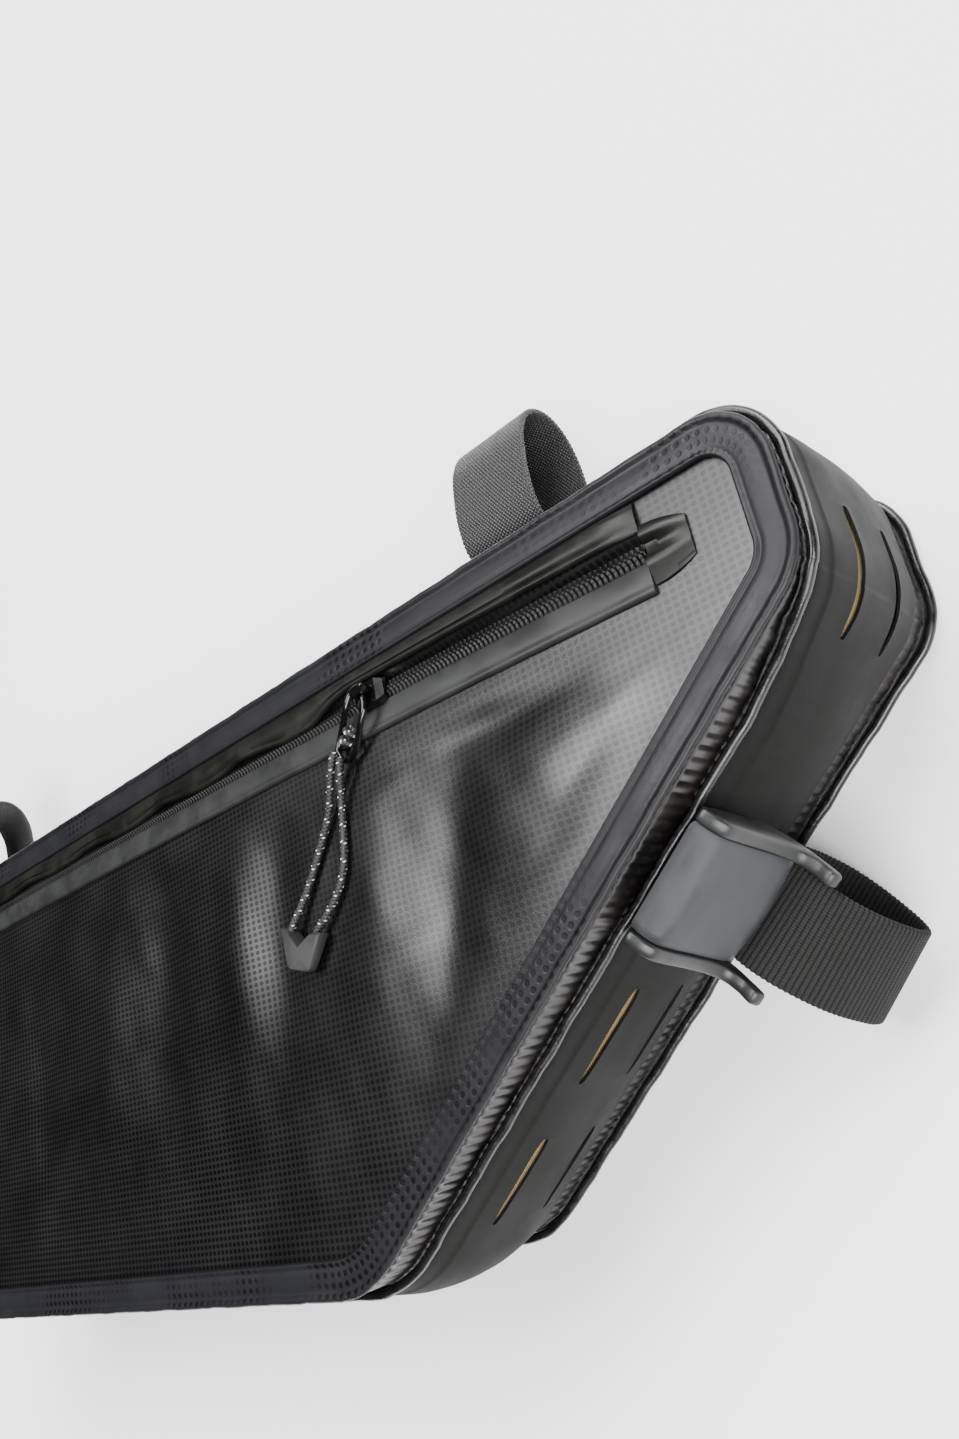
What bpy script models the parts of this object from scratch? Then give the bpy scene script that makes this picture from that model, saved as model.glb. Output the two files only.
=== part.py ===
"""Bicycle frame bag, lying on its far side, as separate closed solids.

Units are metres, +Z up. The bag is modelled in a working frame whose X runs
along the top edge towards the nose, whose Y points out of the top edge, and
whose Z is the distance from the surface that the far side lies on. The corner
of the straight top and nose edges is at X = 0, Y = 0. At the end the whole
part is shifted so that its origin is the middle of its footprint.
"""
import math
from collections import namedtuple

import bmesh
import bpy
from mathutils import Matrix, Vector

# Bag body
LENGTH = 0.420           # top edge, nose to rear corner
HEIGHT = 0.145           # top edge to bottom edge
NOSE_HEIGHT = 0.0353     # straight front edge before the corner is rounded
DOWN_ANGLE = math.radians(38.3)   # lower front edge against the top edge
REAR_LEAN = 0.039        # how far the rear edge leans forward at the bottom
DEPTH = 0.065            # far side to near side
NOSE_TOP_RADIUS = 0.014
NOSE_LOW_RADIUS = 0.015
FRONT_BOTTOM_RADIUS = 0.030
REAR_RADIUS = 0.020
ARC_STEPS = 7            # facets in each rounded corner

# Cloth and clearances
GAP = 0.0003             # between pieces that touch
WALL = 0.0015            # coated cloth of the band
PANEL_WALL = 0.0012
BORDER_WIDTH = 0.008     # welded flange round each side panel
BORDER_WALL = 0.0015
BEAD_RADIUS = 0.0011     # welded piping
PANEL_SAG = 0.003        # size of the largest fold in the near panel
FADE = 0.012             # folds die out this far from a welded edge

# Edge panel with strap slots
EDGE_WALL = 0.0012
EDGE_CROWN = 0.0034      # how far its middle stands off the band
EDGE_STRIP = 0.012       # bare band between side panel and edge panel
NOSE_STRIP = 0.0050      # the same round the nose
EDGE_ROWS = 8            # facets across the edge panel
SLOT_SPREAD = 0.0175     # between the two slots of a pair
SLOT_WIDTH = 0.0022
SLOT_LENGTH = 0.0265
NOSE_SLOT_LENGTH = 0.025
NOSE_SLOT_SHIFT = 0.0029  # nose pair sits this far above the corner's middle
SLOT_PITCH = 0.0408      # pairs along the lower front edge
DOWN_PAIRS = 3
DOWN_STRAP_PLACE = 0.0621  # corner's middle to the first pair, along the edge
TOP_STRAP_PLACE = 0.0719   # nose to the first pair on the top edge
TOP_REAR_PLACE = 0.0420    # rear corner to the last pair on the top edge
TOP_PAIRS = 5
TOP_PITCH = (LENGTH - TOP_STRAP_PLACE - TOP_REAR_PLACE) / (TOP_PAIRS - 1)
BACKING_WALL = 0.0006    # woven tape behind the slots
BACKING_MARGIN = 0.0028  # it reaches this far past the slots

# Webbing
WEB_WIDTH = 0.0238
WEB_THICK = 0.0015
TOP_LOOP = 0.0453        # height of the loops on the top edge
DOWN_LOOP = 0.0372       # height of the loop on the lower front edge
WEB_STEPS = 2            # cross-sections in each span of a loop

# Buckle
BUCKLE_START = 0.0076    # its near end, measured from the near side
BUCKLE_REACH = 0.0225    # its size across the band
BUCKLE_FOOT = 0.0034     # its lowest point above the band
BUCKLE_RISE = 0.0220
BUCKLE_INSIDE = 0.0250   # clear width between its rails
RAIL_WIDTH = 0.0030
BAR_RADIUS = 0.0010

# Zip
ZIP_DROP = 0.0145        # coil below the top edge, at the rear
ZIP_DIP = 0.0050         # extra drop at the nose end
ZIP_REAR = 0.028         # rear corner to the end of the zip
ZIP_NOSE = 0.029         # nose to the end of the coil
COIL_WIDTH = 0.0044
COIL_THICK = 0.0020
TAPE_WIDTH = 0.0066
TAPE_THICK = 0.0008
FLAP_THICK = 0.0009
FLAP_RISE = 0.0018       # how far the storm flap arches
FLAP_OPEN = 0.0040       # its lip to the coil where the teeth show
FLAP_CLOSED = 0.0002     # and where it hangs over them
FLAP_CLOSING = 0.020     # over this distance behind the slider
FLAP_WAVE = 0.0008       # height of the lip's waves
FLAP_WAVE_LENGTH = 0.042
SLIDER_PLACE = 0.1075    # nose to the slider
SLIDER_LENGTH = 0.0100
SLIDER_WIDTH = 0.0072
SLIDER_THICK = 0.0020
BRIDGE_LENGTH = 0.0044   # strap over the slider that holds the puller
BRIDGE_THICK = 0.0016
BRIDGE_RISE = 0.0034
END_LENGTH = 0.0095      # moulded end at the nose
END_REACH = 0.0150       # its size across the zip
END_RISE = 0.0021

# Puller
WIRE_RADIUS = 0.0008
WIRE_LIFT = 0.0013       # its middle above the slider, under the bridge
WIRE_LENGTH = 0.0175
WIRE_WIDTH = 0.0082
WIRE_TURN = math.radians(222)
CORD_RADIUS = 0.0010
CORD_STEPS = 40
CORD_BORE = 0.0013       # channel that the cord takes through its tab
TAB_TOP = 0.0155
TAB_BOTTOM = 0.0090
TAB_LENGTH = 0.0095
TAB_THICK = 0.0044
TAB_THIN = 0.0030
TAB_TURN = math.radians(252)


def clear_scene():
    for item in list(bpy.data.objects):
        bpy.data.objects.remove(item, do_unlink=True)


def material(name, colour, roughness, metallic=0.0):
    made = bpy.data.materials.new(name)
    made.use_nodes = True
    shader = made.node_tree.nodes["Principled BSDF"]
    shader.inputs["Base Color"].default_value = (*colour, 1.0)
    shader.inputs["Roughness"].default_value = roughness
    shader.inputs["Metallic"].default_value = metallic
    return made


def add_solid(name, shape, look, sharp=35.0):
    """Turn a closed bmesh into a named object with its faces pointing out."""
    bmesh.ops.recalc_face_normals(shape, faces=shape.faces[:])
    mesh = bpy.data.meshes.new(name)
    shape.to_mesh(mesh)
    shape.free()
    mesh.shade_smooth()
    mesh.set_sharp_from_angle(angle=math.radians(sharp))
    solid = bpy.data.objects.new(name, mesh)
    solid.data.materials.append(look)
    bpy.context.collection.objects.link(solid)
    return solid


def combine(target, tool, operation):
    """Add one exact Boolean to a solid and keep its tool as a guide."""
    step = target.modifiers.new(tool.name, "BOOLEAN")
    step.operation = operation
    step.solver = "EXACT"
    step.object = tool
    tool.hide_render = True
    tool.display_type = "WIRE"


def smoothstep(low, high, value):
    share = min(max((value - low) / (high - low), 0.0), 1.0)
    return share * share * (3.0 - 2.0 * share)


# Outline of the side panels: every ring of the bag is this outline, moved in
# or out along its normals.

def corner_table():
    """Corners clockwise from the lower nose corner: place and radius."""
    run = (HEIGHT - NOSE_HEIGHT) / math.tan(DOWN_ANGLE)
    return [
        (Vector((0.0, -NOSE_HEIGHT)), NOSE_LOW_RADIUS),
        (Vector((-run, -HEIGHT)), FRONT_BOTTOM_RADIUS),
        (Vector((-LENGTH + REAR_LEAN, -HEIGHT)), REAR_RADIUS),
        (Vector((-LENGTH, 0.0)), REAR_RADIUS),
        (Vector((0.0, 0.0)), NOSE_TOP_RADIUS),
    ]


def walk_outline():
    """Points, outward normals and distances along the rounded outline.

    The walk starts in the middle of the lower nose corner and first follows
    the lower front edge.
    """
    corners = corner_table()
    count = len(corners)
    points = []
    for index, (place, radius) in enumerate(corners):
        before = (place - corners[index - 1][0]).normalized()
        after = (corners[(index + 1) % count][0] - place).normalized()
        normal_in = Vector((-before.y, before.x))
        normal_out = Vector((-after.y, after.x))
        turn = normal_in.angle(normal_out)
        centre = place - (normal_in + normal_out) * (radius / (1.0 + math.cos(turn)))
        for step in range(ARC_STEPS + 1):
            share = step / ARC_STEPS
            spin = Matrix.Rotation(-turn * share, 2)
            normal = spin @ normal_in
            points.append((centre + normal * radius, normal))
    half = ARC_STEPS // 2 + 1
    points = points[half:] + points[:half]
    walk = []
    station = 0.0
    for index, (place, normal) in enumerate(points):
        if index:
            station += (place - points[index - 1][0]).length
        walk.append((place, normal, station))
    return walk


OUTLINE = walk_outline()
PERIMETER = OUTLINE[-1][2] + (OUTLINE[0][0] - OUTLINE[-1][0]).length
MIDDLE = DEPTH / 2


def at_station(station):
    """Place and outward normal at a distance along the outline."""
    station %= PERIMETER
    closed = OUTLINE + [(OUTLINE[0][0], OUTLINE[0][1], PERIMETER)]
    for (place_a, normal_a, start), (place_b, normal_b, stop) in zip(closed, closed[1:]):
        if station <= stop:
            share = (station - start) / (stop - start)
            normal = normal_a.lerp(normal_b, share).normalized()
            return place_a.lerp(place_b, share), normal
    return OUTLINE[0][0], OUTLINE[0][1]


def top_station(distance):
    """Station of a place on the top edge, given its distance from the nose."""
    straight = [row for row in OUTLINE if abs(row[0].y) < 1e-7]
    nearest = max(straight, key=lambda row: row[0].x)
    return nearest[2] - (nearest[0].x + distance)


def strip_width(station):
    """Bare band beside the side panel: narrow round the nose."""
    ahead = station if station < PERIMETER / 2 else station - PERIMETER
    nose_run = NOSE_HEIGHT + NOSE_TOP_RADIUS
    down = smoothstep(-0.5 * NOSE_LOW_RADIUS, 2.0 * NOSE_LOW_RADIUS, ahead)
    up = smoothstep(-0.8 * nose_run, -1.5 * nose_run, ahead)
    return NOSE_STRIP + (EDGE_STRIP - NOSE_STRIP) * max(down, up)


def ring(name, profile, look):
    """Sweep a closed profile of (inset, height) rows round the outline."""
    shape = bmesh.new()
    loops = []
    for place, normal, station in OUTLINE:
        loop = []
        for inset, height in profile(station):
            spot = place - normal * inset
            loop.append(shape.verts.new((spot.x, spot.y, height)))
        loops.append(loop)
    for loop_a, loop_b in zip(loops, loops[1:] + loops[:1]):
        for step in range(len(loop_a)):
            following = (step + 1) % len(loop_a)
            shape.faces.new((loop_a[step], loop_a[following], loop_b[following], loop_b[step]))
    return add_solid(name, shape, look)


def round_profile(inset, height, radius, sides=6):
    turns = [2 * math.pi * (side + 0.5) / sides for side in range(sides)]
    return [(inset + radius * math.cos(turn), height + radius * math.sin(turn)) for turn in turns]


def near_border_profile(station):
    """Flange with a raised outer lip and a fine inner edge."""
    low = DEPTH - BORDER_WALL
    flat = DEPTH - 0.3 * BORDER_WALL
    return [
        (0.0, low),
        (-GAP, DEPTH - 0.5 * BORDER_WALL),
        (0.04 * BORDER_WIDTH, DEPTH - 0.1 * BORDER_WALL),
        (0.17 * BORDER_WIDTH, DEPTH),
        (0.31 * BORDER_WIDTH, flat),
        (0.90 * BORDER_WIDTH, flat),
        (BORDER_WIDTH, DEPTH - 0.6 * BORDER_WALL),
        (BORDER_WIDTH, low),
    ]


def far_border_profile(station):
    """Flange whose flat face is what the bag lies on."""
    return [
        (0.0, BORDER_WALL),
        (-GAP, 0.5 * BORDER_WALL),
        (0.05 * BORDER_WIDTH, 0.0),
        (0.95 * BORDER_WIDTH, 0.0),
        (BORDER_WIDTH, 0.3 * BORDER_WALL),
        (BORDER_WIDTH, BORDER_WALL),
    ]


def band_profile(station):
    low = BORDER_WALL + GAP
    return [(0.0, low), (0.0, DEPTH - low), (WALL, DEPTH - low), (WALL, low)]


def near_bead_profile(station):
    """Piping that leaves the side panel and follows the edge panel."""
    height = DEPTH - strip_width(station) + BEAD_RADIUS + GAP
    highest = DEPTH - BORDER_WALL - GAP - BEAD_RADIUS
    return round_profile(-GAP - BEAD_RADIUS, min(height, highest), BEAD_RADIUS)


def far_bead_profile(station):
    return round_profile(-GAP - BEAD_RADIUS, BORDER_WALL + GAP + BEAD_RADIUS, BEAD_RADIUS)


def crown(height, station):
    """How far the inner face of the edge panel stands off the band."""
    if height > MIDDLE:
        reach = DEPTH - strip_width(station) - MIDDLE
    else:
        reach = MIDDLE - EDGE_STRIP
    share = (height - MIDDLE) / reach
    return GAP + EDGE_CROWN * max(1.0 - share * share, 0.0)


def edge_profile(station):
    high = DEPTH - strip_width(station)
    low = EDGE_STRIP
    rows = [low + (high - low) * step / EDGE_ROWS for step in range(EDGE_ROWS + 1)]
    outer = [(-crown(row, station) - EDGE_WALL, row) for row in rows]
    inner = [(-crown(row, station), row) for row in reversed(rows)]
    return outer + inner


def backing_profile(station):
    half = SLOT_SPREAD / 2 + BACKING_MARGIN
    inner = -GAP
    outer = -GAP - BACKING_WALL
    return [
        (inner, MIDDLE - half),
        (outer, MIDDLE - half),
        (outer, MIDDLE + half),
        (inner, MIDDLE + half),
    ]


# Slots: pairs of narrow cuts that follow the outline.

def slot_stations():
    """Middle and length of each slot pair, along the outline."""
    pairs = [(-NOSE_SLOT_SHIFT, NOSE_SLOT_LENGTH)]
    for index in range(DOWN_PAIRS):
        pairs.append((DOWN_STRAP_PLACE + SLOT_PITCH * index, SLOT_LENGTH))
    for index in range(TOP_PAIRS):
        pairs.append((top_station(TOP_STRAP_PLACE + TOP_PITCH * index), SLOT_LENGTH))
    return pairs


def slot_path(start, stop):
    """Points of the outline between two stations, with both ends."""
    inside = []
    for place, normal, station in OUTLINE:
        for lap in (-PERIMETER, 0.0, PERIMETER):
            if start < station + lap < stop:
                inside.append((station + lap, place, normal))
    inside.sort(key=lambda row: row[0])
    middle = [(place, normal) for along, place, normal in inside]
    return [at_station(start)] + middle + [at_station(stop)]


def slot_cutter():
    inner = 0.0
    outer = EDGE_CROWN + EDGE_WALL + 10 * GAP
    shape = bmesh.new()
    for middle, length in slot_stations():
        path = slot_path(middle - length / 2, middle + length / 2)
        for side in (-1, 1):
            height = MIDDLE + side * SLOT_SPREAD / 2
            low = height - SLOT_WIDTH / 2
            high = height + SLOT_WIDTH / 2
            loops = []
            for place, normal in path:
                near = place + normal * inner
                far = place + normal * outer
                rows = [(near, low), (far, low), (far, high), (near, high)]
                loops.append([shape.verts.new((spot.x, spot.y, row)) for spot, row in rows])
            close_loft(shape, loops)
    return add_solid("slot_cutter", shape, GUIDE)


def close_loft(shape, loops):
    """Join cross-sections into one closed body with flat ends."""
    for loop_a, loop_b in zip(loops, loops[1:]):
        for step in range(len(loop_a)):
            following = (step + 1) % len(loop_a)
            shape.faces.new((loop_a[step], loop_a[following], loop_b[following], loop_b[step]))
    shape.faces.new(loops[0])
    shape.faces.new(list(reversed(loops[-1])))


# Side panels

def chord(x, inset):
    """Lowest and highest Y of the outline, moved in, at a given X."""
    spots = [place - normal * inset for place, normal, station in OUTLINE]
    crossings = []
    for spot_a, spot_b in zip(spots, spots[1:] + spots[:1]):
        if (spot_a.x - x) * (spot_b.x - x) <= 0.0 and spot_a.x != spot_b.x:
            share = (x - spot_a.x) / (spot_b.x - spot_a.x)
            crossings.append(spot_a.y + (spot_b.y - spot_a.y) * share)
    return min(crossings), max(crossings)


def zip_line(x):
    """Y of the zip's middle at a given X."""
    start = -LENGTH + ZIP_REAR
    share = max((x - start) / (LENGTH - ZIP_REAR - ZIP_NOSE), 0.0)
    return -ZIP_DROP - ZIP_DIP * share ** 3


# Folds of the near panel. Along and down are shares of the bag's length and
# height, measured from the nose and the top edge; long and wide are shares of
# its height; turn is in degrees; rise is a share of the panel's sag.
Fold = namedtuple("Fold", "along down long wide turn rise")
FOLDS = [
    Fold(0.410, 0.43, 0.20, 0.055, 85, 0.55),
    Fold(0.285, 0.47, 0.20, 0.070, 80, 0.55),
    Fold(0.368, 0.42, 0.20, 0.050, 83, -0.40),
    Fold(0.178, 0.24, 0.17, 0.045, -8, -0.65),
    Fold(0.150, 0.37, 0.15, 0.110, 45, 0.75),
    Fold(0.228, 0.48, 0.16, 0.050, 72, -0.55),
    Fold(0.500, 0.45, 0.22, 0.070, 82, -0.60),
    Fold(0.570, 0.50, 0.25, 0.080, 78, 0.50),
    Fold(0.680, 0.55, 0.22, 0.060, 95, -0.50),
    Fold(0.780, 0.50, 0.25, 0.090, 88, 0.60),
]


def panel_rise(x, y):
    """Height of the near panel's folds above its flat welded level."""
    total = 0.0
    for fold in FOLDS:
        spot = Vector((x + fold.along * LENGTH, y + fold.down * HEIGHT))
        spot.rotate(Matrix.Rotation(-math.radians(fold.turn), 2))
        lengthwise = spot.x / (fold.long * HEIGHT)
        crosswise = spot.y / (fold.wide * HEIGHT)
        total += fold.rise * math.exp(-lengthwise ** 2 - crosswise ** 2)
    edge = min(edge_distance(x, y) - BORDER_WIDTH, zip_line(x) - TAPE_WIDTH - COIL_WIDTH - y)
    return PANEL_SAG * total * smoothstep(0.0, FADE, edge)


def level(x, y):
    return 0.0


def edge_distance(x, y):
    """Distance from a point inside the outline to its straight edges."""
    corners = [place for place, radius in corner_table()]
    spot = Vector((x, y))
    nearest = LENGTH
    for start, stop in zip(corners, corners[1:] + corners[:1]):
        along = (stop - start).normalized()
        normal = Vector((-along.y, along.x))
        nearest = min(nearest, -(spot - start).dot(normal))
    return nearest


PANEL_TOP = DEPTH - BORDER_WALL - GAP
PANEL_INSET = WALL + GAP


def panel_columns(count, inset):
    """X of the panel's columns, closer together at both ends."""
    low = min((place - normal * inset).x for place, normal, station in OUTLINE)
    high = max((place - normal * inset).x for place, normal, station in OUTLINE)
    margin = 0.1 * GAP
    spots = []
    for step in range(count + 1):
        share = (1.0 - math.cos(math.pi * step / count)) / 2
        even = step / count
        spots.append(low + margin + (high - low - 2 * margin) * (0.6 * even + 0.4 * share))
    return spots


def panel(name, columns, rows, top, rise, look):
    """Thin plate inside the band, with a fold height at each grid point."""
    shape = bmesh.new()
    grids = []
    for drop in (0.0, PANEL_WALL):
        grid = []
        for x in panel_columns(columns, PANEL_INSET):
            low, high = chord(x, PANEL_INSET)
            column = []
            for step in range(rows + 1):
                y = low + (high - low) * step / rows
                column.append(shape.verts.new((x, y, top - drop + rise(x, y))))
            grid.append(column)
        grids.append(grid)
    upper, lower = grids
    for i in range(columns):
        for j in range(rows):
            shape.faces.new((upper[i][j], upper[i + 1][j], upper[i + 1][j + 1], upper[i][j + 1]))
            shape.faces.new((lower[i][j], lower[i][j + 1], lower[i + 1][j + 1], lower[i + 1][j]))
    rim = [(i, 0) for i in range(columns)] + [(columns, j) for j in range(rows)]
    rim += [(i, rows) for i in range(columns, 0, -1)] + [(0, j) for j in range(rows, 0, -1)]
    for (i, j), (k, m) in zip(rim, rim[1:] + rim[:1]):
        shape.faces.new((upper[i][j], lower[i][j], lower[k][m], upper[k][m]))
    return add_solid(name, shape, look)


# Zip: pieces lofted along X, each cross-section a list of (Y, Z) rows.

def loft_along_x(name, start, stop, count, section, look):
    shape = bmesh.new()
    loops = []
    for step in range(count + 1):
        x = start + (stop - start) * step / count
        loops.append([shape.verts.new((x, y, z)) for y, z in section(x)])
    close_loft(shape, loops)
    return add_solid(name, shape, look)


COIL_TOP = PANEL_TOP + GAP + TAPE_THICK
SLIT_HALF = COIL_WIDTH / 2 + GAP


def coil_section(x):
    half = COIL_WIDTH / 2
    low = COIL_TOP - COIL_THICK
    y = zip_line(x)
    return [(y - half, low), (y + half, low), (y + half, COIL_TOP), (y - half, COIL_TOP)]


def slit_section(x):
    y = zip_line(x)
    low = PANEL_TOP - 4 * PANEL_WALL
    high = PANEL_TOP + PANEL_SAG
    return [
        (y - SLIT_HALF, low),
        (y + SLIT_HALF, low),
        (y + SLIT_HALF, high),
        (y - SLIT_HALF, high),
    ]


def tape_section(x):
    """Smooth lower tape, welded on the panel below the coil."""
    inner = zip_line(x) - SLIT_HALF
    outer = inner - TAPE_WIDTH
    low = PANEL_TOP + GAP
    high = low + TAPE_THICK
    return [(outer, low), (inner, low), (inner, high), (outer + TAPE_THICK, high)]


def flap_lip(x):
    """Y of the storm flap's free edge, open on the nose side of the slider."""
    behind = -SLIDER_PLACE - SLIDER_LENGTH / 2 - GAP
    closing = smoothstep(behind, behind - FLAP_CLOSING, x)
    reach = FLAP_OPEN + (FLAP_CLOSED - FLAP_OPEN) * closing
    wave = FLAP_WAVE * closing * math.sin(2 * math.pi * x / FLAP_WAVE_LENGTH)
    return zip_line(x) + reach + wave


def flap_section(x):
    root = -BORDER_WIDTH - GAP
    lip = flap_lip(x)
    low = PANEL_TOP + GAP
    rows = [
        (root, low),
        (root + 0.30 * (lip - root), low + 0.8 * FLAP_RISE),
        (root + 0.70 * (lip - root), low + FLAP_RISE),
        (lip, low + 0.7 * FLAP_RISE),
    ]
    top = [(y, z + FLAP_THICK) for y, z in reversed(rows)]
    return rows + top


# Slider body: along and width are shares of half its length and width, height
# a share of its thickness.
SliderRow = namedtuple("SliderRow", "along width height")
SLIDER_ROWS = [
    SliderRow(-1.0, 0.55, 0.55),
    SliderRow(-0.7, 1.00, 1.00),
    SliderRow(0.6, 1.00, 1.00),
    SliderRow(1.0, 0.70, 0.55),
]


def end_section(x):
    """Moulded zip end: a low bump with a crease along the zip."""
    start = -ZIP_NOSE + GAP
    share = (x - start) / END_LENGTH
    y = zip_line(x)
    low = PANEL_TOP + GAP
    half = 0.5 * END_REACH * (1.0 - 0.35 * share * share)
    rise = END_RISE * (1.0 - 0.75 * share * share)
    return [
        (y - half, low),
        (y + 0.75 * half, low),
        (y + 0.75 * half, low + 0.3 * rise),
        (y + 0.40 * half, low + rise),
        (y, low + 0.55 * rise),
        (y - 0.40 * half, low + 0.9 * rise),
        (y - half, low + 0.3 * rise),
    ]


def box_loft(name, centre, spans, look):
    """Block round a centre, given its reach both ways along X, Y and Z."""
    (back, front), (right, left), (low, high) = spans
    shape = bmesh.new()
    loops = []
    for x in (back, front):
        rows = [(right, low), (left, low), (left, high), (right, high)]
        loops.append([shape.verts.new(centre + Vector((x, y, z))) for y, z in rows])
    close_loft(shape, loops)
    return add_solid(name, shape, look)


def slider():
    """Slider body with a bridge over the puller's wire."""
    base = Vector((-SLIDER_PLACE, zip_line(-SLIDER_PLACE), COIL_TOP + GAP))
    half = SLIDER_LENGTH / 2
    shape = bmesh.new()
    loops = []
    for row in SLIDER_ROWS:
        wide = row.width * SLIDER_WIDTH / 2
        high = row.height * SLIDER_THICK
        rows = [(-wide, 0.0), (wide, 0.0), (0.8 * wide, high), (-0.8 * wide, high)]
        x = row.along * half
        loops.append([shape.verts.new(base + Vector((x, y, z))) for y, z in rows])
    close_loft(shape, loops)
    made = add_solid("slider", shape, GLOSS)
    reach = BRIDGE_LENGTH / 2
    side = BRIDGE_THICK / 2
    foot = 0.5 * SLIDER_THICK
    spans = ((-reach, reach), (-side, side), (foot, SLIDER_THICK + BRIDGE_RISE))
    combine(made, box_loft("slider_bridge", base, spans, GUIDE), "UNION")
    room = WIRE_RADIUS + GAP
    middle = SLIDER_THICK + WIRE_LIFT
    spans = ((-room, room), (-BRIDGE_THICK, BRIDGE_THICK), (middle - room, middle + room))
    combine(made, box_loft("slider_window", base, spans, GUIDE), "DIFFERENCE")
    return made


def wire_frame():
    """Origin and directions of the puller: its eye passes under the bridge."""
    x = -SLIDER_PLACE
    start = Vector((x, zip_line(x), COIL_TOP + GAP + SLIDER_THICK + WIRE_LIFT))
    along = Vector((math.cos(WIRE_TURN), math.sin(WIRE_TURN), 0.0))
    across = Vector((-along.y, along.x, 0.0))
    return start, along, across


# Outline of the wire puller: along is a share of its length, across of its
# half width, drop of the fall from the slider's bridge to the panel.
WireRow = namedtuple("WireRow", "along across drop")
WIRE_LOOP = [
    WireRow(-0.070, -0.42, 0.00),
    WireRow(0.070, 0.42, 0.00),
    WireRow(0.170, 0.92, 0.00),
    WireRow(0.320, 1.00, 0.10),
    WireRow(0.550, 1.00, 0.55),
    WireRow(0.800, 0.98, 1.00),
    WireRow(0.950, 0.62, 1.00),
    WireRow(1.000, 0.00, 1.00),
    WireRow(0.950, -0.62, 1.00),
    WireRow(0.800, -0.98, 1.00),
    WireRow(0.550, -1.00, 0.55),
    WireRow(0.320, -1.00, 0.05),
    WireRow(0.060, -1.00, 0.00),
]


def tube_loop(shape, points, radius, sides):
    """Closed tube through points, in a bmesh."""
    count = len(points)
    loops = []
    up = Vector((0.0, 0.0, 1.0))
    for index, spot in enumerate(points):
        forward = (points[(index + 1) % count] - points[index - 1]).normalized()
        side = forward.cross(up).normalized()
        over = side.cross(forward)
        loop = []
        for turn in range(sides):
            angle = 2 * math.pi * (turn + 0.5) / sides
            offset = side * math.cos(angle) + over * math.sin(angle)
            loop.append(shape.verts.new(spot + offset * radius))
        loops.append(loop)
    for loop_a, loop_b in zip(loops, loops[1:] + loops[:1]):
        for step in range(sides):
            following = (step + 1) % sides
            shape.faces.new((loop_a[step], loop_a[following], loop_b[following], loop_b[step]))


def puller():
    """Bent wire loop that hangs from the slider and lies towards the panel."""
    start, along, across = wire_frame()
    low = PANEL_TOP + GAP + TAPE_THICK + GAP + WIRE_RADIUS
    fall = start.z - low
    half = WIRE_WIDTH / 2 - WIRE_RADIUS
    points = []
    for row in WIRE_LOOP:
        spot = start + along * (row.along * WIRE_LENGTH) + across * (row.across * half)
        spot.z = start.z - row.drop * fall
        points.append(spot)
    shape = bmesh.new()
    tube_loop(shape, points, WIRE_RADIUS, 6)
    return add_solid("puller", shape, GLOSS)


# Webbing: a path of (across the band, out of the band) points, given a
# thickness and pulled out to the webbing's width along the edge.

def edge_frame(station):
    """Origin on the band, direction along the edge and direction out of it."""
    place, normal = at_station(station)
    along = Vector((normal.y, -normal.x))
    return place, along, normal


def row_slopes(rows):
    """Direction at each row, leaning towards its shorter neighbour span."""
    spans = [math.dist(a[:3], b[:3]) for a, b in zip(rows, rows[1:])]
    leads = [[(y - x) / span for x, y in zip(a, b)] for a, b, span in zip(rows, rows[1:], spans)]
    slopes = [leads[0]]
    for index in range(1, len(rows) - 1):
        back = spans[index - 1]
        ahead = spans[index]
        pairs = zip(leads[index - 1], leads[index])
        slopes.append([(x * ahead + y * back) / (back + ahead) for x, y in pairs])
    slopes.append(leads[-1])
    return spans, slopes


def curve_points(rows, steps):
    """Points on a smooth curve through rows, with some steps in each span."""
    spans, slopes = row_slopes(rows)
    points = []
    for index, span in enumerate(spans):
        for step in range(steps):
            t = step / steps
            start = (1.0 + 2.0 * t) * (1.0 - t) ** 2
            stop = t * t * (3.0 - 2.0 * t)
            lead_in = t * (1.0 - t) ** 2 * span
            lead_out = t * t * (t - 1.0) * span
            parts = zip(rows[index], rows[index + 1], slopes[index], slopes[index + 1])
            points.append(tuple(
                a * start + b * stop + p * lead_in + q * lead_out for a, b, p, q in parts
            ))
    points.append(tuple(rows[-1]))
    return points


def even_points(rows, count):
    """The same curve, read at even distances."""
    fine = curve_points(rows, 12)
    lengths = [0.0]
    for a, b in zip(fine, fine[1:]):
        lengths.append(lengths[-1] + math.dist(a, b))
    path = []
    cursor = 0
    for step in range(count + 1):
        target = lengths[-1] * step / count
        while cursor < len(lengths) - 2 and lengths[cursor + 1] < target:
            cursor += 1
        share = (target - lengths[cursor]) / (lengths[cursor + 1] - lengths[cursor])
        path.append(tuple(a + (b - a) * share for a, b in zip(fine[cursor], fine[cursor + 1])))
    return path


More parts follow.
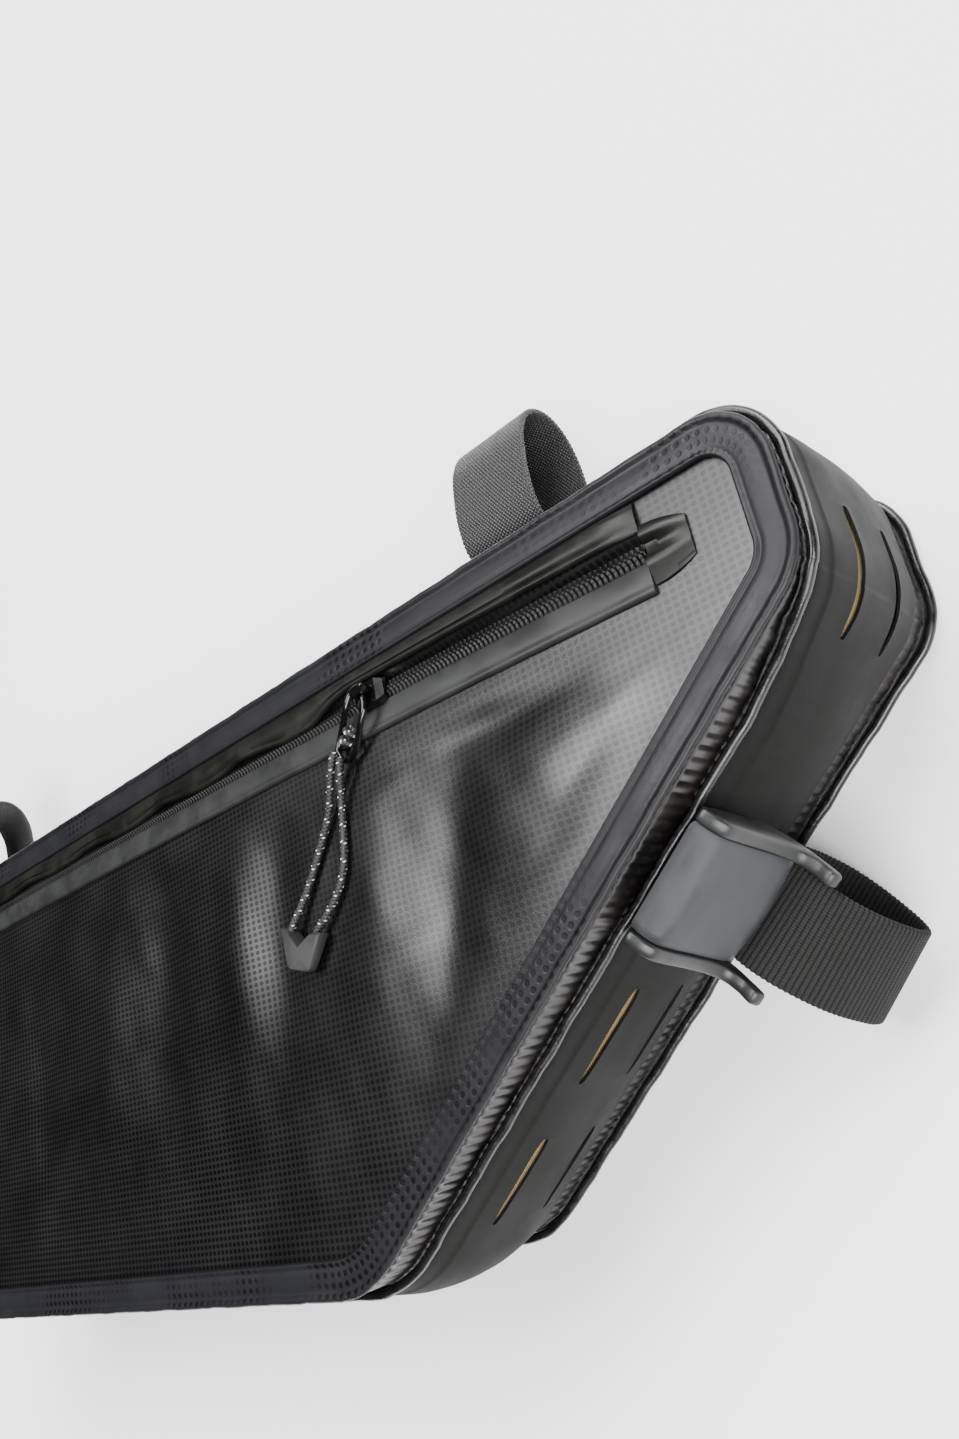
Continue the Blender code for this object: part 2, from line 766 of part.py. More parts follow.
def webbing(name, station, path, closed, look):
    """Strap along a path of (height, out, twist) rows at a station.

    Twist is how far the strap's edge away from the nose sits above its middle.
    """
    place, along, outward = edge_frame(station)
    shape = bmesh.new()
    loops = []
    count = len(path)
    for index in range(count):
        ahead = path[(index + 1) % count] if closed else path[min(index + 1, count - 1)]
        behind = path[index - 1] if closed or index else path[0]
        forward = Vector((ahead[0] - behind[0], ahead[1] - behind[1])).normalized()
        normal = Vector((-forward.y, forward.x)) * (WEB_THICK / 2)
        height, out, twist = path[index]
        loop = []
        for side, half in ((-1, -1), (1, -1), (1, 1), (-1, 1)):
            spot = place + along * (half * WEB_WIDTH / 2) + outward * (out + side * normal.y)
            lift = height + side * normal.x - half * twist
            loop.append(shape.verts.new((spot.x, spot.y, lift)))
        loops.append(loop)
    if closed:
        for loop_a, loop_b in zip(loops, loops[1:] + loops[:1]):
            for step in range(4):
                following = (step + 1) % 4
                shape.faces.new((loop_a[step], loop_a[following], loop_b[following], loop_b[step]))
    else:
        close_loft(shape, loops)
    return add_solid(name, shape, look)


UNDER = GAP + BACKING_WALL + GAP + WEB_THICK / 2   # webbing behind the slots
SLOT_OUT = GAP + EDGE_CROWN + EDGE_WALL + GAP      # just outside a slot

# Loop on the top edge. Across is a share of the slots' spread, towards the
# near side from the middle; out is a share of the loop's height; twist is a
# share of the webbing's half width.
LoopRow = namedtuple("LoopRow", "across out twist")
TOP_LOOP_ROWS = [
    LoopRow(0.60, 0.19, 0.0),
    LoopRow(0.86, 0.30, 0.0),
    LoopRow(0.94, 0.44, 0.0),
    LoopRow(0.91, 0.64, 0.0),
    LoopRow(0.80, 0.82, 0.0),
    LoopRow(0.57, 0.95, 0.0),
    LoopRow(0.31, 1.00, 0.0),
    LoopRow(0.06, 1.00, 0.0),
    LoopRow(-0.20, 0.94, 0.0),
    LoopRow(-0.40, 0.81, 0.0),
    LoopRow(-0.49, 0.62, 0.0),
    LoopRow(-0.53, 0.33, 0.0),
    LoopRow(-0.51, 0.17, 0.0),
]


# The webbing's turn through a slot: across is a share of half the slots'
# spread, lift a share of the webbing's thickness above its run behind them.
TurnRow = namedtuple("TurnRow", "across lift")
SLOT_TURN = [
    TurnRow(0.30, 0.00),
    TurnRow(0.60, 0.00),
    TurnRow(0.82, 0.00),
    TurnRow(0.94, 0.25),
    TurnRow(1.00, 0.90),
]


def slot_turn(side):
    """Rows from behind the edge panel out through one slot of a pair."""
    half = side * SLOT_SPREAD / 2
    rows = [(MIDDLE + across * half, UNDER + lift * WEB_THICK, 0.0) for across, lift in SLOT_TURN]
    return rows + [(MIDDLE + half, SLOT_OUT, 0.0)]


def loop_rows(table, reach):
    """Rows of a loop table as height, distance out and lift of the edge."""
    rows = []
    for row in table:
        lift = row.twist * WEB_WIDTH / 2
        rows.append((MIDDLE + row.across * SLOT_SPREAD, row.out * reach, lift))
    return rows


def top_loop_path():
    rows = slot_turn(1) + loop_rows(TOP_LOOP_ROWS, TOP_LOOP) + slot_turn(-1)[::-1]
    rows.append(rows[0])
    return curve_points(rows, WEB_STEPS)[:-1]


# Loop on the lower front edge, from the far slot round its fold to the
# buckle.
DOWN_LOOP_ROWS = [
    LoopRow(-0.77, 0.23, 0.02),
    LoopRow(-1.15, 0.31, 0.08),
    LoopRow(-1.46, 0.45, 0.14),
    LoopRow(-1.55, 0.62, 0.20),
    LoopRow(-1.52, 0.79, 0.27),
    LoopRow(-1.43, 0.92, 0.32),
    LoopRow(-1.28, 0.99, 0.34),
    LoopRow(-1.05, 1.00, 0.34),
    LoopRow(-0.71, 0.95, 0.30),
    LoopRow(-0.37, 0.86, 0.24),
    LoopRow(-0.11, 0.73, 0.17),
    LoopRow(0.03, 0.60, 0.08),
]

# Places in the buckle: reach is a share of its size across the band, from its
# near end; rise is a share of its height.
BuckleRow = namedtuple("BuckleRow", "reach rise")
RAIL_ROWS = [
    BuckleRow(0.036, 0.009),
    BuckleRow(0.240, 0.036),
    BuckleRow(0.507, 0.100),
    BuckleRow(0.751, 0.141),
    BuckleRow(0.884, 0.232),
    BuckleRow(0.964, 0.391),
    BuckleRow(1.004, 0.573),
    BuckleRow(0.996, 0.755),
    BuckleRow(0.924, 0.991),
    BuckleRow(0.853, 0.945),
    BuckleRow(0.871, 0.777),
    BuckleRow(0.840, 0.645),
    BuckleRow(0.729, 0.555),
    BuckleRow(0.484, 0.455),
    BuckleRow(0.240, 0.377),
    BuckleRow(0.071, 0.295),
    BuckleRow(0.000, 0.164),
    BuckleRow(-0.009, 0.036),
]
COVER_ROWS = [
    BuckleRow(0.018, 0.009),
    BuckleRow(0.027, 0.155),
    BuckleRow(0.089, 0.273),
    BuckleRow(0.240, 0.355),
    BuckleRow(0.484, 0.432),
    BuckleRow(0.729, 0.518),
    BuckleRow(0.907, 0.559),
    BuckleRow(0.978, 0.541),
    BuckleRow(0.964, 0.491),
    BuckleRow(0.729, 0.445),
    BuckleRow(0.484, 0.359),
    BuckleRow(0.240, 0.277),
    BuckleRow(0.129, 0.218),
    BuckleRow(0.098, 0.141),
    BuckleRow(0.089, 0.009),
]
FIXED_BAR = BuckleRow(0.240, 0.114)
CAM_BAR = BuckleRow(0.751, 0.209)
ANCHOR_ROWS = [
    BuckleRow(0.418, 0.064),
    BuckleRow(0.551, 0.085),
    BuckleRow(0.660, 0.095),
]
GRIP_ROWS = [
    BuckleRow(1.049, 0.641),
    BuckleRow(1.040, 0.541),
    BuckleRow(0.978, 0.427),
    BuckleRow(0.818, 0.345),
    BuckleRow(0.551, 0.264),
]


def in_buckle(reach, rise):
    """Height above the far side and distance out of the band."""
    height = DEPTH - BUCKLE_START - reach * BUCKLE_REACH
    return height, BUCKLE_FOOT + rise * BUCKLE_RISE


def down_loop_path():
    bar_height, bar_out = in_buckle(*FIXED_BAR)
    wrap = BAR_RADIUS + GAP + WEB_THICK / 2
    rows = []
    for turn in (-30, 0, 45, 90, 135, 180):
        angle = math.radians(turn)
        height = bar_height + wrap * math.sin(angle)
        rows.append((height, bar_out + wrap * math.cos(angle), 0.0))
    for reach, rise in ANCHOR_ROWS:
        rows.append((*in_buckle(reach, rise), 0.0))
    rows += reversed(slot_turn(1))
    rows += slot_turn(-1)
    rows += loop_rows(DOWN_LOOP_ROWS, DOWN_LOOP)
    for reach, rise in GRIP_ROWS:
        rows.append((*in_buckle(reach, rise), 0.0))
    return curve_points(rows, WEB_STEPS)


def pull_along_edge(name, station, rows, start, stop, look):
    """Flat outline of buckle rows, pulled out along the edge."""
    place, along, outward = edge_frame(station)
    shape = bmesh.new()
    loops = []
    for offset in (start, stop):
        loop = []
        for reach, rise in rows:
            height, out = in_buckle(reach, rise)
            spot = place + along * offset + outward * out
            loop.append(shape.verts.new((spot.x, spot.y, height)))
        loops.append(loop)
    close_loft(shape, loops)
    return add_solid(name, shape, look)


def buckle_bar(name, station, centre, radius):
    sides = 10
    height, out = in_buckle(*centre)
    rows = []
    for side in range(sides):
        angle = 2 * math.pi * side / sides
        reach = (DEPTH - BUCKLE_START - height - radius * math.cos(angle)) / BUCKLE_REACH
        rise = (out + radius * math.sin(angle) - BUCKLE_FOOT) / BUCKLE_RISE
        rows.append((reach, rise))
    half = BUCKLE_INSIDE / 2 + 0.5 * RAIL_WIDTH
    return pull_along_edge(name, station, rows, -half, half, GUIDE)


def buckle(station):
    """Frame of two rails and two bars, and the curved cover between them."""
    inner = BUCKLE_INSIDE / 2
    outer = inner + RAIL_WIDTH
    frame = pull_along_edge("buckle_frame", station, RAIL_ROWS, inner, outer, SATIN)
    other = pull_along_edge("second_rail", station, RAIL_ROWS, -outer, -inner, GUIDE)
    for tool in (
        buckle_bar("fixed_bar", station, FIXED_BAR, BAR_RADIUS),
        buckle_bar("cam_bar", station, CAM_BAR, BAR_RADIUS),
        other,
    ):
        combine(frame, tool, "UNION")
    side = inner - GAP
    pull_along_edge("buckle_cover", station, COVER_ROWS, -side, side, SLATE)


# Pull cord: a loop of cord from the hitch in the wire's eye, through the tab
# and back. Points by hand, in the working frame: X, Y and height above the
# near panel's welded level.
CORD_DOWN = [
    (-0.1205, -0.0269, 0.0043),
    (-0.1223, -0.0300, 0.0043),
    (-0.1249, -0.0342, 0.0033),
    (-0.1283, -0.0398, 0.0020),
    (-0.1328, -0.0456, 0.0015),
    (-0.1372, -0.0512, 0.0014),
    (-0.1412, -0.0563, 0.0016),
    (-0.1445, -0.0603, 0.0022),
]
CORD_TURN = [
    (-0.1468, -0.0633, 0.0027),
    (-0.1471, -0.0643, 0.0027),
    (-0.1468, -0.0679, 0.0027),
    (-0.1440, -0.0703, 0.0027),
    (-0.1403, -0.0700, 0.0027),
    (-0.1379, -0.0673, 0.0027),
    (-0.1376, -0.0663, 0.0027),
]
CORD_UP = [
    (-0.1345, -0.0638, 0.0024),
    (-0.1308, -0.0606, 0.0020),
    (-0.1273, -0.0567, 0.0020),
    (-0.1251, -0.0522, 0.0021),
    (-0.1243, -0.0470, 0.0019),
    (-0.1236, -0.0415, 0.0019),
    (-0.1220, -0.0365, 0.0027),
    (-0.1200, -0.0323, 0.0040),
    (-0.1187, -0.0289, 0.0043),
]
CORD_ROUTE = CORD_DOWN + CORD_TURN + CORD_UP
TAB_PLACE = (-0.1422, -0.0648, 0.0027)


def cord_points():
    """Even points on a smooth curve through the hand-picked route."""
    rows = even_points(CORD_ROUTE, CORD_STEPS)
    return [Vector((x, y, PANEL_TOP + z)) for x, y, z in rows]


def pull_cord():
    curve = bpy.data.curves.new("pull_cord", "CURVE")
    curve.dimensions = "3D"
    curve.bevel_depth = CORD_RADIUS
    curve.bevel_resolution = 2
    curve.use_fill_caps = True
    points = cord_points()
    spline = curve.splines.new("POLY")
    spline.points.add(len(points) - 1)
    for spot, row in zip(points, spline.points):
        row.co = (*spot, 1.0)
    tube = bpy.data.objects.new("pull_cord", curve)
    tube.data.materials.append(CORD)
    bpy.context.collection.objects.link(tube)
    return tube


def cord_channel(tab_start):
    """Bore along the stretch of cord that runs through the tab."""
    near = [spot for spot in cord_points() if (spot - tab_start).length < 1.2 * TAB_LENGTH]
    shape = bmesh.new()
    loops = []
    up = Vector((0.0, 0.0, 1.0))
    for index, spot in enumerate(near):
        ahead = near[min(index + 1, len(near) - 1)]
        forward = (ahead - near[max(index - 1, 0)]).normalized()
        side = forward.cross(up).normalized()
        over = side.cross(forward)
        loop = []
        for turn in range(8):
            angle = 2 * math.pi * (turn + 0.5) / 8
            offset = side * math.cos(angle) + over * math.sin(angle)
            loop.append(shape.verts.new(spot + offset * CORD_BORE))
        loops.append(loop)
    close_loft(shape, loops)
    return add_solid("cord_channel", shape, GUIDE)


def cord_tab():
    """Wedge-shaped pull tab with a channel for the cord."""
    start = Vector(TAB_PLACE) + Vector((0.0, 0.0, PANEL_TOP))
    along = Vector((math.cos(TAB_TURN), math.sin(TAB_TURN), 0.0))
    across = Vector((-along.y, along.x, 0.0))
    shape = bmesh.new()
    loops = []
    for share in (0.0, 1.0):
        half_wide = (TAB_TOP + (TAB_BOTTOM - TAB_TOP) * share) / 2
        half_thick = (TAB_THICK + (TAB_THIN - TAB_THICK) * share) / 2
        loop = []
        for wide, thick in ((-1, -1), (1, -1), (1, 1), (-1, 1)):
            spot = start + along * (share * TAB_LENGTH) + across * (wide * half_wide)
            spot.z += thick * half_thick
            loop.append(shape.verts.new(spot))
        loops.append(loop)
    close_loft(shape, loops)
    tab = add_solid("cord_tab", shape, TAB)
    combine(tab, cord_channel(start), "DIFFERENCE")
    return tab


def cord_hitch():
    """Knot of the cord in the wire's eye, where both legs leave it."""
    start, along, across = wire_frame()
    low = PANEL_TOP + GAP + TAPE_THICK + GAP + WIRE_RADIUS
    half = WIRE_WIDTH / 2 - 2 * WIRE_RADIUS - GAP
    centre = start + along * (0.66 * WIRE_LENGTH)
    centre.z = low + WIRE_RADIUS
    shape = bmesh.new()
    bmesh.ops.create_uvsphere(shape, u_segments=10, v_segments=6, radius=1.0)
    size = Matrix.Diagonal((0.22 * WIRE_LENGTH, half, 1.9 * WIRE_RADIUS, 1.0))
    spin = Matrix.Rotation(WIRE_TURN, 4, "Z")
    bmesh.ops.transform(shape, matrix=Matrix.Translation(centre) @ spin @ size, verts=shape.verts)
    return add_solid("cord_hitch", shape, CORD, sharp=60.0)


def seat_on_origin():
    """Shift every solid so the origin is the middle of the footprint."""
    solids = [item for item in bpy.data.objects if item.type == "MESH" and not item.hide_render]
    corners = [corner.co for item in solids for corner in item.data.vertices]
    low = [min(corner[axis] for corner in corners) for axis in range(3)]
    high = [max(corner[axis] for corner in corners) for axis in range(3)]
    base = bpy.data.objects.new("bag_origin", None)
    bpy.context.collection.objects.link(base)
    for item in list(bpy.data.objects):
        if item is not base:
            item.parent = base
    base.location = (-(low[0] + high[0]) / 2, -(low[1] + high[1]) / 2, -low[2])


clear_scene()
GUIDE = material("guide", (0.8, 0.2, 0.2), 0.8)
CLOTH = material("coated_grid_cloth", (0.035, 0.036, 0.040), 0.42)
FLANGE = material("welded_flange", (0.022, 0.022, 0.026), 0.45)
BAND = material("band_cloth", (0.016, 0.015, 0.015), 0.50)
EDGE = material("matte_edge_sheet", (0.040, 0.040, 0.039), 0.62)
TAPE = material("tan_woven_tape", (0.36, 0.27, 0.13), 0.85)
SMOOTH = material("smooth_zip_tape", (0.040, 0.041, 0.043), 0.48)
COIL = material("zip_coil", (0.010, 0.010, 0.011), 0.38)
FLAP = material("storm_flap", (0.018, 0.018, 0.015), 0.42)
GLOSS = material("gloss_black", (0.006, 0.006, 0.007), 0.12, 0.3)
CORD = material("braided_cord", (0.020, 0.020, 0.021), 0.75)
TAB = material("matte_tab", (0.045, 0.045, 0.046), 0.55)
WEB = material("nylon_webbing", (0.030, 0.030, 0.031), 0.70)
SATIN = material("satin_frame", (0.020, 0.021, 0.022), 0.35)
SLATE = material("slate_cover", (0.085, 0.092, 0.100), 0.55)

ring("gusset_band", band_profile, BAND)
ring("near_border", near_border_profile, FLANGE)
ring("far_border", far_border_profile, FLANGE)
ring("near_bead", near_bead_profile, FLANGE)
ring("far_bead", far_bead_profile, FLANGE)
ring("slot_backing", backing_profile, TAPE)
combine(ring("edge_panel", edge_profile, EDGE), slot_cutter(), "DIFFERENCE")

ZIP_START = -LENGTH + ZIP_REAR
ZIP_STOP = -ZIP_NOSE
NEAR_PANEL = panel("near_panel", 40, 12, PANEL_TOP, panel_rise, CLOTH)
SLIT = loft_along_x("zip_slit", ZIP_START - GAP, ZIP_STOP + GAP, 14, slit_section, GUIDE)
combine(NEAR_PANEL, SLIT, "DIFFERENCE")
panel("far_panel", 16, 4, BORDER_WALL + GAP + PANEL_WALL, level, CLOTH)
loft_along_x("zip_coil", ZIP_START, ZIP_STOP, 14, coil_section, COIL)
loft_along_x("zip_tape", ZIP_START, ZIP_STOP, 14, tape_section, SMOOTH)
loft_along_x("zip_flap", ZIP_START, ZIP_STOP, 44, flap_section, FLAP)
loft_along_x("zip_end", ZIP_STOP + GAP, ZIP_STOP + GAP + END_LENGTH, 6, end_section, FLAP)
slider()
puller()
cord_hitch()
pull_cord()
cord_tab()

webbing("top_strap_front", top_station(TOP_STRAP_PLACE), top_loop_path(), True, WEB)
webbing("top_strap_rear", top_station(LENGTH - TOP_REAR_PLACE), top_loop_path(), True, WEB)
webbing("down_strap", DOWN_STRAP_PLACE, down_loop_path(), False, WEB)
buckle(DOWN_STRAP_PLACE)
seat_on_origin()
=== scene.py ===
"""Looks of the bicycle frame bag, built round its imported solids.

Everything is in metres. Shapes are worked out in the working frame of the
solids: X along the top edge with 0 at the nose, Y out of the top edge, Z up
from the surface that the far side lies on. ORIGIN moves them into the row frame.
"""
import math
from collections import namedtuple

import bpy
import numpy as np
from mathutils import Matrix, Vector


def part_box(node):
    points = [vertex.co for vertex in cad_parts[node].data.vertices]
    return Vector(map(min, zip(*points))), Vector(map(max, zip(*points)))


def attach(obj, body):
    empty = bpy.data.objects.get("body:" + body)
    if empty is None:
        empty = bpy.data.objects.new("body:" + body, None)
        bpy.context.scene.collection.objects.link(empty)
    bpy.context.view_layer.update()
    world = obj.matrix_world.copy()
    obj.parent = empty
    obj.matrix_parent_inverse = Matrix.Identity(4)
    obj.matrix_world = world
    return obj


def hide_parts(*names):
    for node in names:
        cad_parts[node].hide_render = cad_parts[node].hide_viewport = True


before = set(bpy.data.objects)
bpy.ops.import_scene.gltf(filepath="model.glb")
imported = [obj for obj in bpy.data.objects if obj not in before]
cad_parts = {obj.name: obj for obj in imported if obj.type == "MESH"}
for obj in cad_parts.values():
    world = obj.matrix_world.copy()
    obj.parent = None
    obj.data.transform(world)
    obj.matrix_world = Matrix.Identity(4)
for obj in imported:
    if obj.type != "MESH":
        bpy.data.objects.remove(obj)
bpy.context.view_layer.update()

# Sizes of the solids
GAP = 0.0003
LENGTH = 0.420
HEIGHT = 0.145
NOSE_HEIGHT = 0.0353
DOWN_ANGLE = math.radians(38.3)
REAR_LEAN = 0.039
DEPTH = 0.065
NOSE_TOP_RADIUS = 0.014
NOSE_LOW_RADIUS = 0.015
FRONT_BOTTOM_RADIUS = 0.030
REAR_RADIUS = 0.020
WALL = 0.0015
PANEL_WALL = 0.0012
BORDER_WIDTH = 0.008
BORDER_WALL = 0.0015
BEAD_RADIUS = 0.0011
PANEL_SAG = 0.003
FADE = 0.012
EDGE_WALL = 0.0012
EDGE_CROWN = 0.0034
NOSE_CROWN = 0.0013
NOSE_SLOT_RISE = 0.0025
EDGE_STRIP = 0.012
NOSE_STRIP = 0.0050
SLOT_SPREAD = 0.0175
SLOT_LENGTH = 0.0265
NOSE_SLOT_LENGTH = 0.025
NOSE_SLOT_SHIFT = 0.0029
SLOT_PITCH = 0.0408
DOWN_PAIRS = 3
DOWN_STRAP_PLACE = 0.0621
TOP_STRAP_PLACE = 0.0719
TOP_REAR_PLACE = 0.0420
TOP_PAIRS = 5
TOP_PITCH = (LENGTH - TOP_STRAP_PLACE - TOP_REAR_PLACE) / (TOP_PAIRS - 1)
BACKING_WALL = 0.0006
BACKING_MARGIN = 0.0028
WEB_WIDTH = 0.0238
WEB_THICK = 0.0015
TOP_LOOP = 0.0453
DOWN_LOOP = 0.0372
BUCKLE_START = 0.0076
BUCKLE_REACH = 0.0225
BUCKLE_FOOT = 0.0034
BUCKLE_RISE = 0.0220
BUCKLE_INSIDE = 0.0250
RAIL_WIDTH = 0.0030
BAR_RADIUS = 0.0010
ZIP_DROP = 0.0145
ZIP_DIP = 0.0050
ZIP_REAR = 0.028
ZIP_NOSE = 0.029
COIL_WIDTH = 0.0044
TAPE_WIDTH = 0.0066
TAPE_THICK = 0.0008
FLAP_THICK = 0.0009
FLAP_RISE = 0.0018
FLAP_OPEN = 0.0040
FLAP_CLOSED = 0.0002
FLAP_CLOSING = 0.020
FLAP_WAVE = 0.0008
FLAP_WAVE_LENGTH = 0.042
END_LENGTH = 0.0095
END_REACH = 0.0150
END_RISE = 0.0021
SLIDER_PLACE = 0.1075
SLIDER_LENGTH = 0.0100
SLIDER_THICK = 0.0020
WIRE_RADIUS = 0.0008
WIRE_LIFT = 0.0013
WIRE_LENGTH = 0.0175
WIRE_WIDTH = 0.0082
WIRE_TURN = math.radians(222)
CORD_RADIUS = 0.0010
TAB_TOP = 0.0155
TAB_BOTTOM = 0.0090
TAB_LENGTH = 0.0095
TAB_THICK = 0.0044
TAB_THIN = 0.0030
TAB_TURN = math.radians(252)

MIDDLE = DEPTH / 2
PANEL_TOP = DEPTH - BORDER_WALL - GAP
PANEL_INSET = WALL + GAP
COIL_TOP = PANEL_TOP + GAP + TAPE_THICK

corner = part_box("near_border")[1]
ORIGIN = Vector((corner.x - GAP, corner.y - GAP, 0.0))


# Camera and light

def camera():
    data = bpy.data.cameras.new("photo_camera")
    data.lens = 25.77
    data.sensor_width = 36.0
    data.clip_start = 0.005
    data.clip_end = 30.0
    item = bpy.data.objects.new("photo_camera", data)
    bpy.context.scene.collection.objects.link(item)
    right = Vector((0.7164, -0.1896, -0.6715))
    up = Vector((0.3670, 0.9209, 0.1315))
    back = right.cross(up).normalized()
    up = back.cross(right).normalized()
    turn = Matrix((right.normalized(), up, back)).transposed().to_4x4()
    item.matrix_world = Matrix.Translation(ORIGIN + Vector((0.0536, -0.1104, 0.225))) @ turn
    bpy.context.scene.camera = item


def softbox(name, place, aim, width, height, power, colour=(1.0, 1.0, 1.0)):
    data = bpy.data.lights.new(name, "AREA")
    data.shape = "RECTANGLE"
    data.size = width
    data.size_y = height
    data.energy = power
    data.color = colour
    item = bpy.data.objects.new(name, data)
    bpy.context.scene.collection.objects.link(item)
    item.location = place
    item.rotation_mode = "QUATERNION"
    item.rotation_quaternion = (Vector(aim) - Vector(place)).to_track_quat("-Z", "Y")


def stage():
    mesh = bpy.data.meshes.new("floor")
    reach = 6.0
    mesh.from_pydata(
        [(-reach, -reach, 0), (reach, -reach, 0), (reach, reach, 0), (-reach, reach, 0)],
        [], [(0, 1, 2, 3)])
    floor = bpy.data.objects.new("floor", mesh)
    bpy.context.scene.collection.objects.link(floor)
    look = bpy.data.materials.new("floor_paint")
    look.use_nodes = True
    shader = look.node_tree.nodes["Principled BSDF"]
    shader.inputs["Base Color"].default_value = (0.95, 0.95, 0.95, 1)
    shader.inputs["Roughness"].default_value = 0.9
    mesh.materials.append(look)
    world = bpy.data.worlds.new("studio")
    bpy.context.scene.world = world
    world.use_nodes = True
    back = world.node_tree.nodes["Background"]
    back.inputs["Color"].default_value = (1.0, 1.0, 1.0, 1)
    back.inputs["Strength"].default_value = 0.035
    softbox("key", (-0.24, 0.33, 1.33), (0.12, 0.0, 0.06), 0.62, 0.6, 19)
    softbox("side_fill", (0.95, -1.05, 1.5), (0.1, 0.0, 0.03), 1.5, 1.5, 108)
    softbox("back_fill", (0.5, 1.45, 1.5), (0.1, 0.0, 0.03), 1.5, 1.5, 100)


camera()
stage()


# Mesh helpers

def make_mesh(name, verts, faces, look, uvs=None, sharp=None):
    """Object from vertices in the working frame, riding on the bag."""
    mesh = bpy.data.meshes.new(name)
    verts = np.asarray(verts, float) + np.array(ORIGIN)
    mesh.from_pydata(verts.tolist(), [], [tuple(int(i) for i in face) for face in faces])
    if uvs is not None:
        layer = mesh.uv_layers.new(name="lay")
        layer.data.foreach_set("uv", np.asarray(uvs, np.float32).ravel())
    mesh.materials.append(look)
    mesh.shade_smooth()
    if sharp is not None:
        mesh.set_sharp_from_angle(angle=math.radians(sharp))
    item = bpy.data.objects.new(name, mesh)
    bpy.context.scene.collection.objects.link(item)
    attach(item, "root")
    return item


def loft(points, u, v, wrap_u=None, wrap_v=False, skip=None):
    """Quads over a grid of points [i, j], with a UV for each corner.

    u runs along j and v along i. wrap_u is the length at which u closes on
    itself, or None for an open grid. skip is a grid of cells left open.
    """
    rows, cols = points.shape[:2]
    i_count = rows if wrap_v else rows - 1
    j_count = cols if wrap_u is not None else cols - 1
    i, j = np.meshgrid(np.arange(i_count), np.arange(j_count), indexing="ij")
    if skip is not None:
        keep = ~skip[:i_count, :j_count]
        i, j = i[keep], j[keep]
    i, j = i.ravel(), j.ravel()
    below, right = (i + 1) % rows, (j + 1) % cols
    faces = np.stack([i * cols + j, i * cols + right, below * cols + right, below * cols + j], 1)
    u_end = np.append(u, wrap_u if wrap_u is not None else u[-1])
    v_end = np.append(v, 2 * v[-1] - v[-2])
    corners = [(u_end[j], v_end[i]), (u_end[j + 1], v_end[i]),
               (u_end[j + 1], v_end[i + 1]), (u_end[j], v_end[i + 1])]
    uvs = np.stack([np.stack(pair, 1) for pair in corners], 1)
    return points.reshape(-1, 3), faces, uvs.reshape(-1, 2)


def lengths(points):
    """Running length along rows of points."""
    steps = np.linalg.norm(np.diff(points, axis=0), axis=1)
    return np.concatenate([[0.0], np.cumsum(steps)])


def smoothstep(low, high, value):
    share = np.clip((np.asarray(value, float) - low) / (high - low), 0.0, 1.0)
    return share * share * (3.0 - 2.0 * share)


def ripple(value, pitch, seed):
    """Smooth uneven wave from a few sines, between about -1 and 1."""
    value = np.asarray(value, float)
    total = 0.0
    for index, (scale, size) in enumerate(((1.0, 0.5), (1.73, 0.3), (2.9, 0.2))):
        total = total + size * np.sin(2 * math.pi * value * scale / pitch + seed * (index + 1.7))
    return total


# Outline of the side panels

def walk_outline(arc_steps, spacing):
    run = (HEIGHT - NOSE_HEIGHT) / math.tan(DOWN_ANGLE)
    corners = [
        (Vector((0.0, -NOSE_HEIGHT)), NOSE_LOW_RADIUS),
        (Vector((-run, -HEIGHT)), FRONT_BOTTOM_RADIUS),
        (Vector((-LENGTH + REAR_LEAN, -HEIGHT)), REAR_RADIUS),
        (Vector((-LENGTH, 0.0)), REAR_RADIUS),
        (Vector((0.0, 0.0)), NOSE_TOP_RADIUS),
    ]
    rows = []
    for index, (place, radius) in enumerate(corners):
        before = (place - corners[index - 1][0]).normalized()
        after = (corners[(index + 1) % 5][0] - place).normalized()
        normal_in = Vector((-before.y, before.x))
        normal_out = Vector((-after.y, after.x))
        turn = normal_in.angle(normal_out)
        centre = place - (normal_in + normal_out) * (radius / (1.0 + math.cos(turn)))
        arc = []
        for step in range(arc_steps + 1):
            normal = Matrix.Rotation(-turn * step / arc_steps, 2) @ normal_in
            arc.append((*(centre + normal * radius), *normal))
        rows.append(arc)
    walk = []
    for index, arc in enumerate(rows):
        walk.extend(arc)
        start, stop = np.array(arc[-1]), np.array(rows[(index + 1) % 5][0])
        count = int(np.linalg.norm(stop[:2] - start[:2]) / spacing)
        for step in range(1, count):
            walk.append(tuple(start + (stop - start) * step / count))
    walk = np.roll(np.array(walk), -(arc_steps * 4 // 7), axis=0)
    places, normals = walk[:, :2], walk[:, 2:]
    steps = np.linalg.norm(np.roll(places, -1, axis=0) - places, axis=1)
    stations = np.concatenate([[0.0], np.cumsum(steps[:-1])])
    return places, normals, stations, float(steps.sum())


PLACES, NORMALS, STATIONS, PERIMETER = walk_outline(28, 0.0022)


def at_station(station):
    """Place and outward normal at distances along the outline."""
    station = np.atleast_1d(np.asarray(station, float)) % PERIMETER
    along = np.append(STATIONS, PERIMETER)
    table = np.vstack([np.hstack([PLACES, NORMALS]), np.hstack([PLACES[0], NORMALS[0]])])
    values = np.stack([np.interp(station, along, table[:, column]) for column in range(4)], 1)
    normals = values[:, 2:] / np.linalg.norm(values[:, 2:], axis=1)[:, None]
    return values[:, :2], normals


def top_station(distance):
    """Station of a place on the top edge, given its distance from the nose."""
    index = max((i for i in range(len(STATIONS)) if abs(PLACES[i, 1]) < 1e-7),
                key=lambda i: PLACES[i, 0])
    return STATIONS[index] - (PLACES[index, 0] + distance)


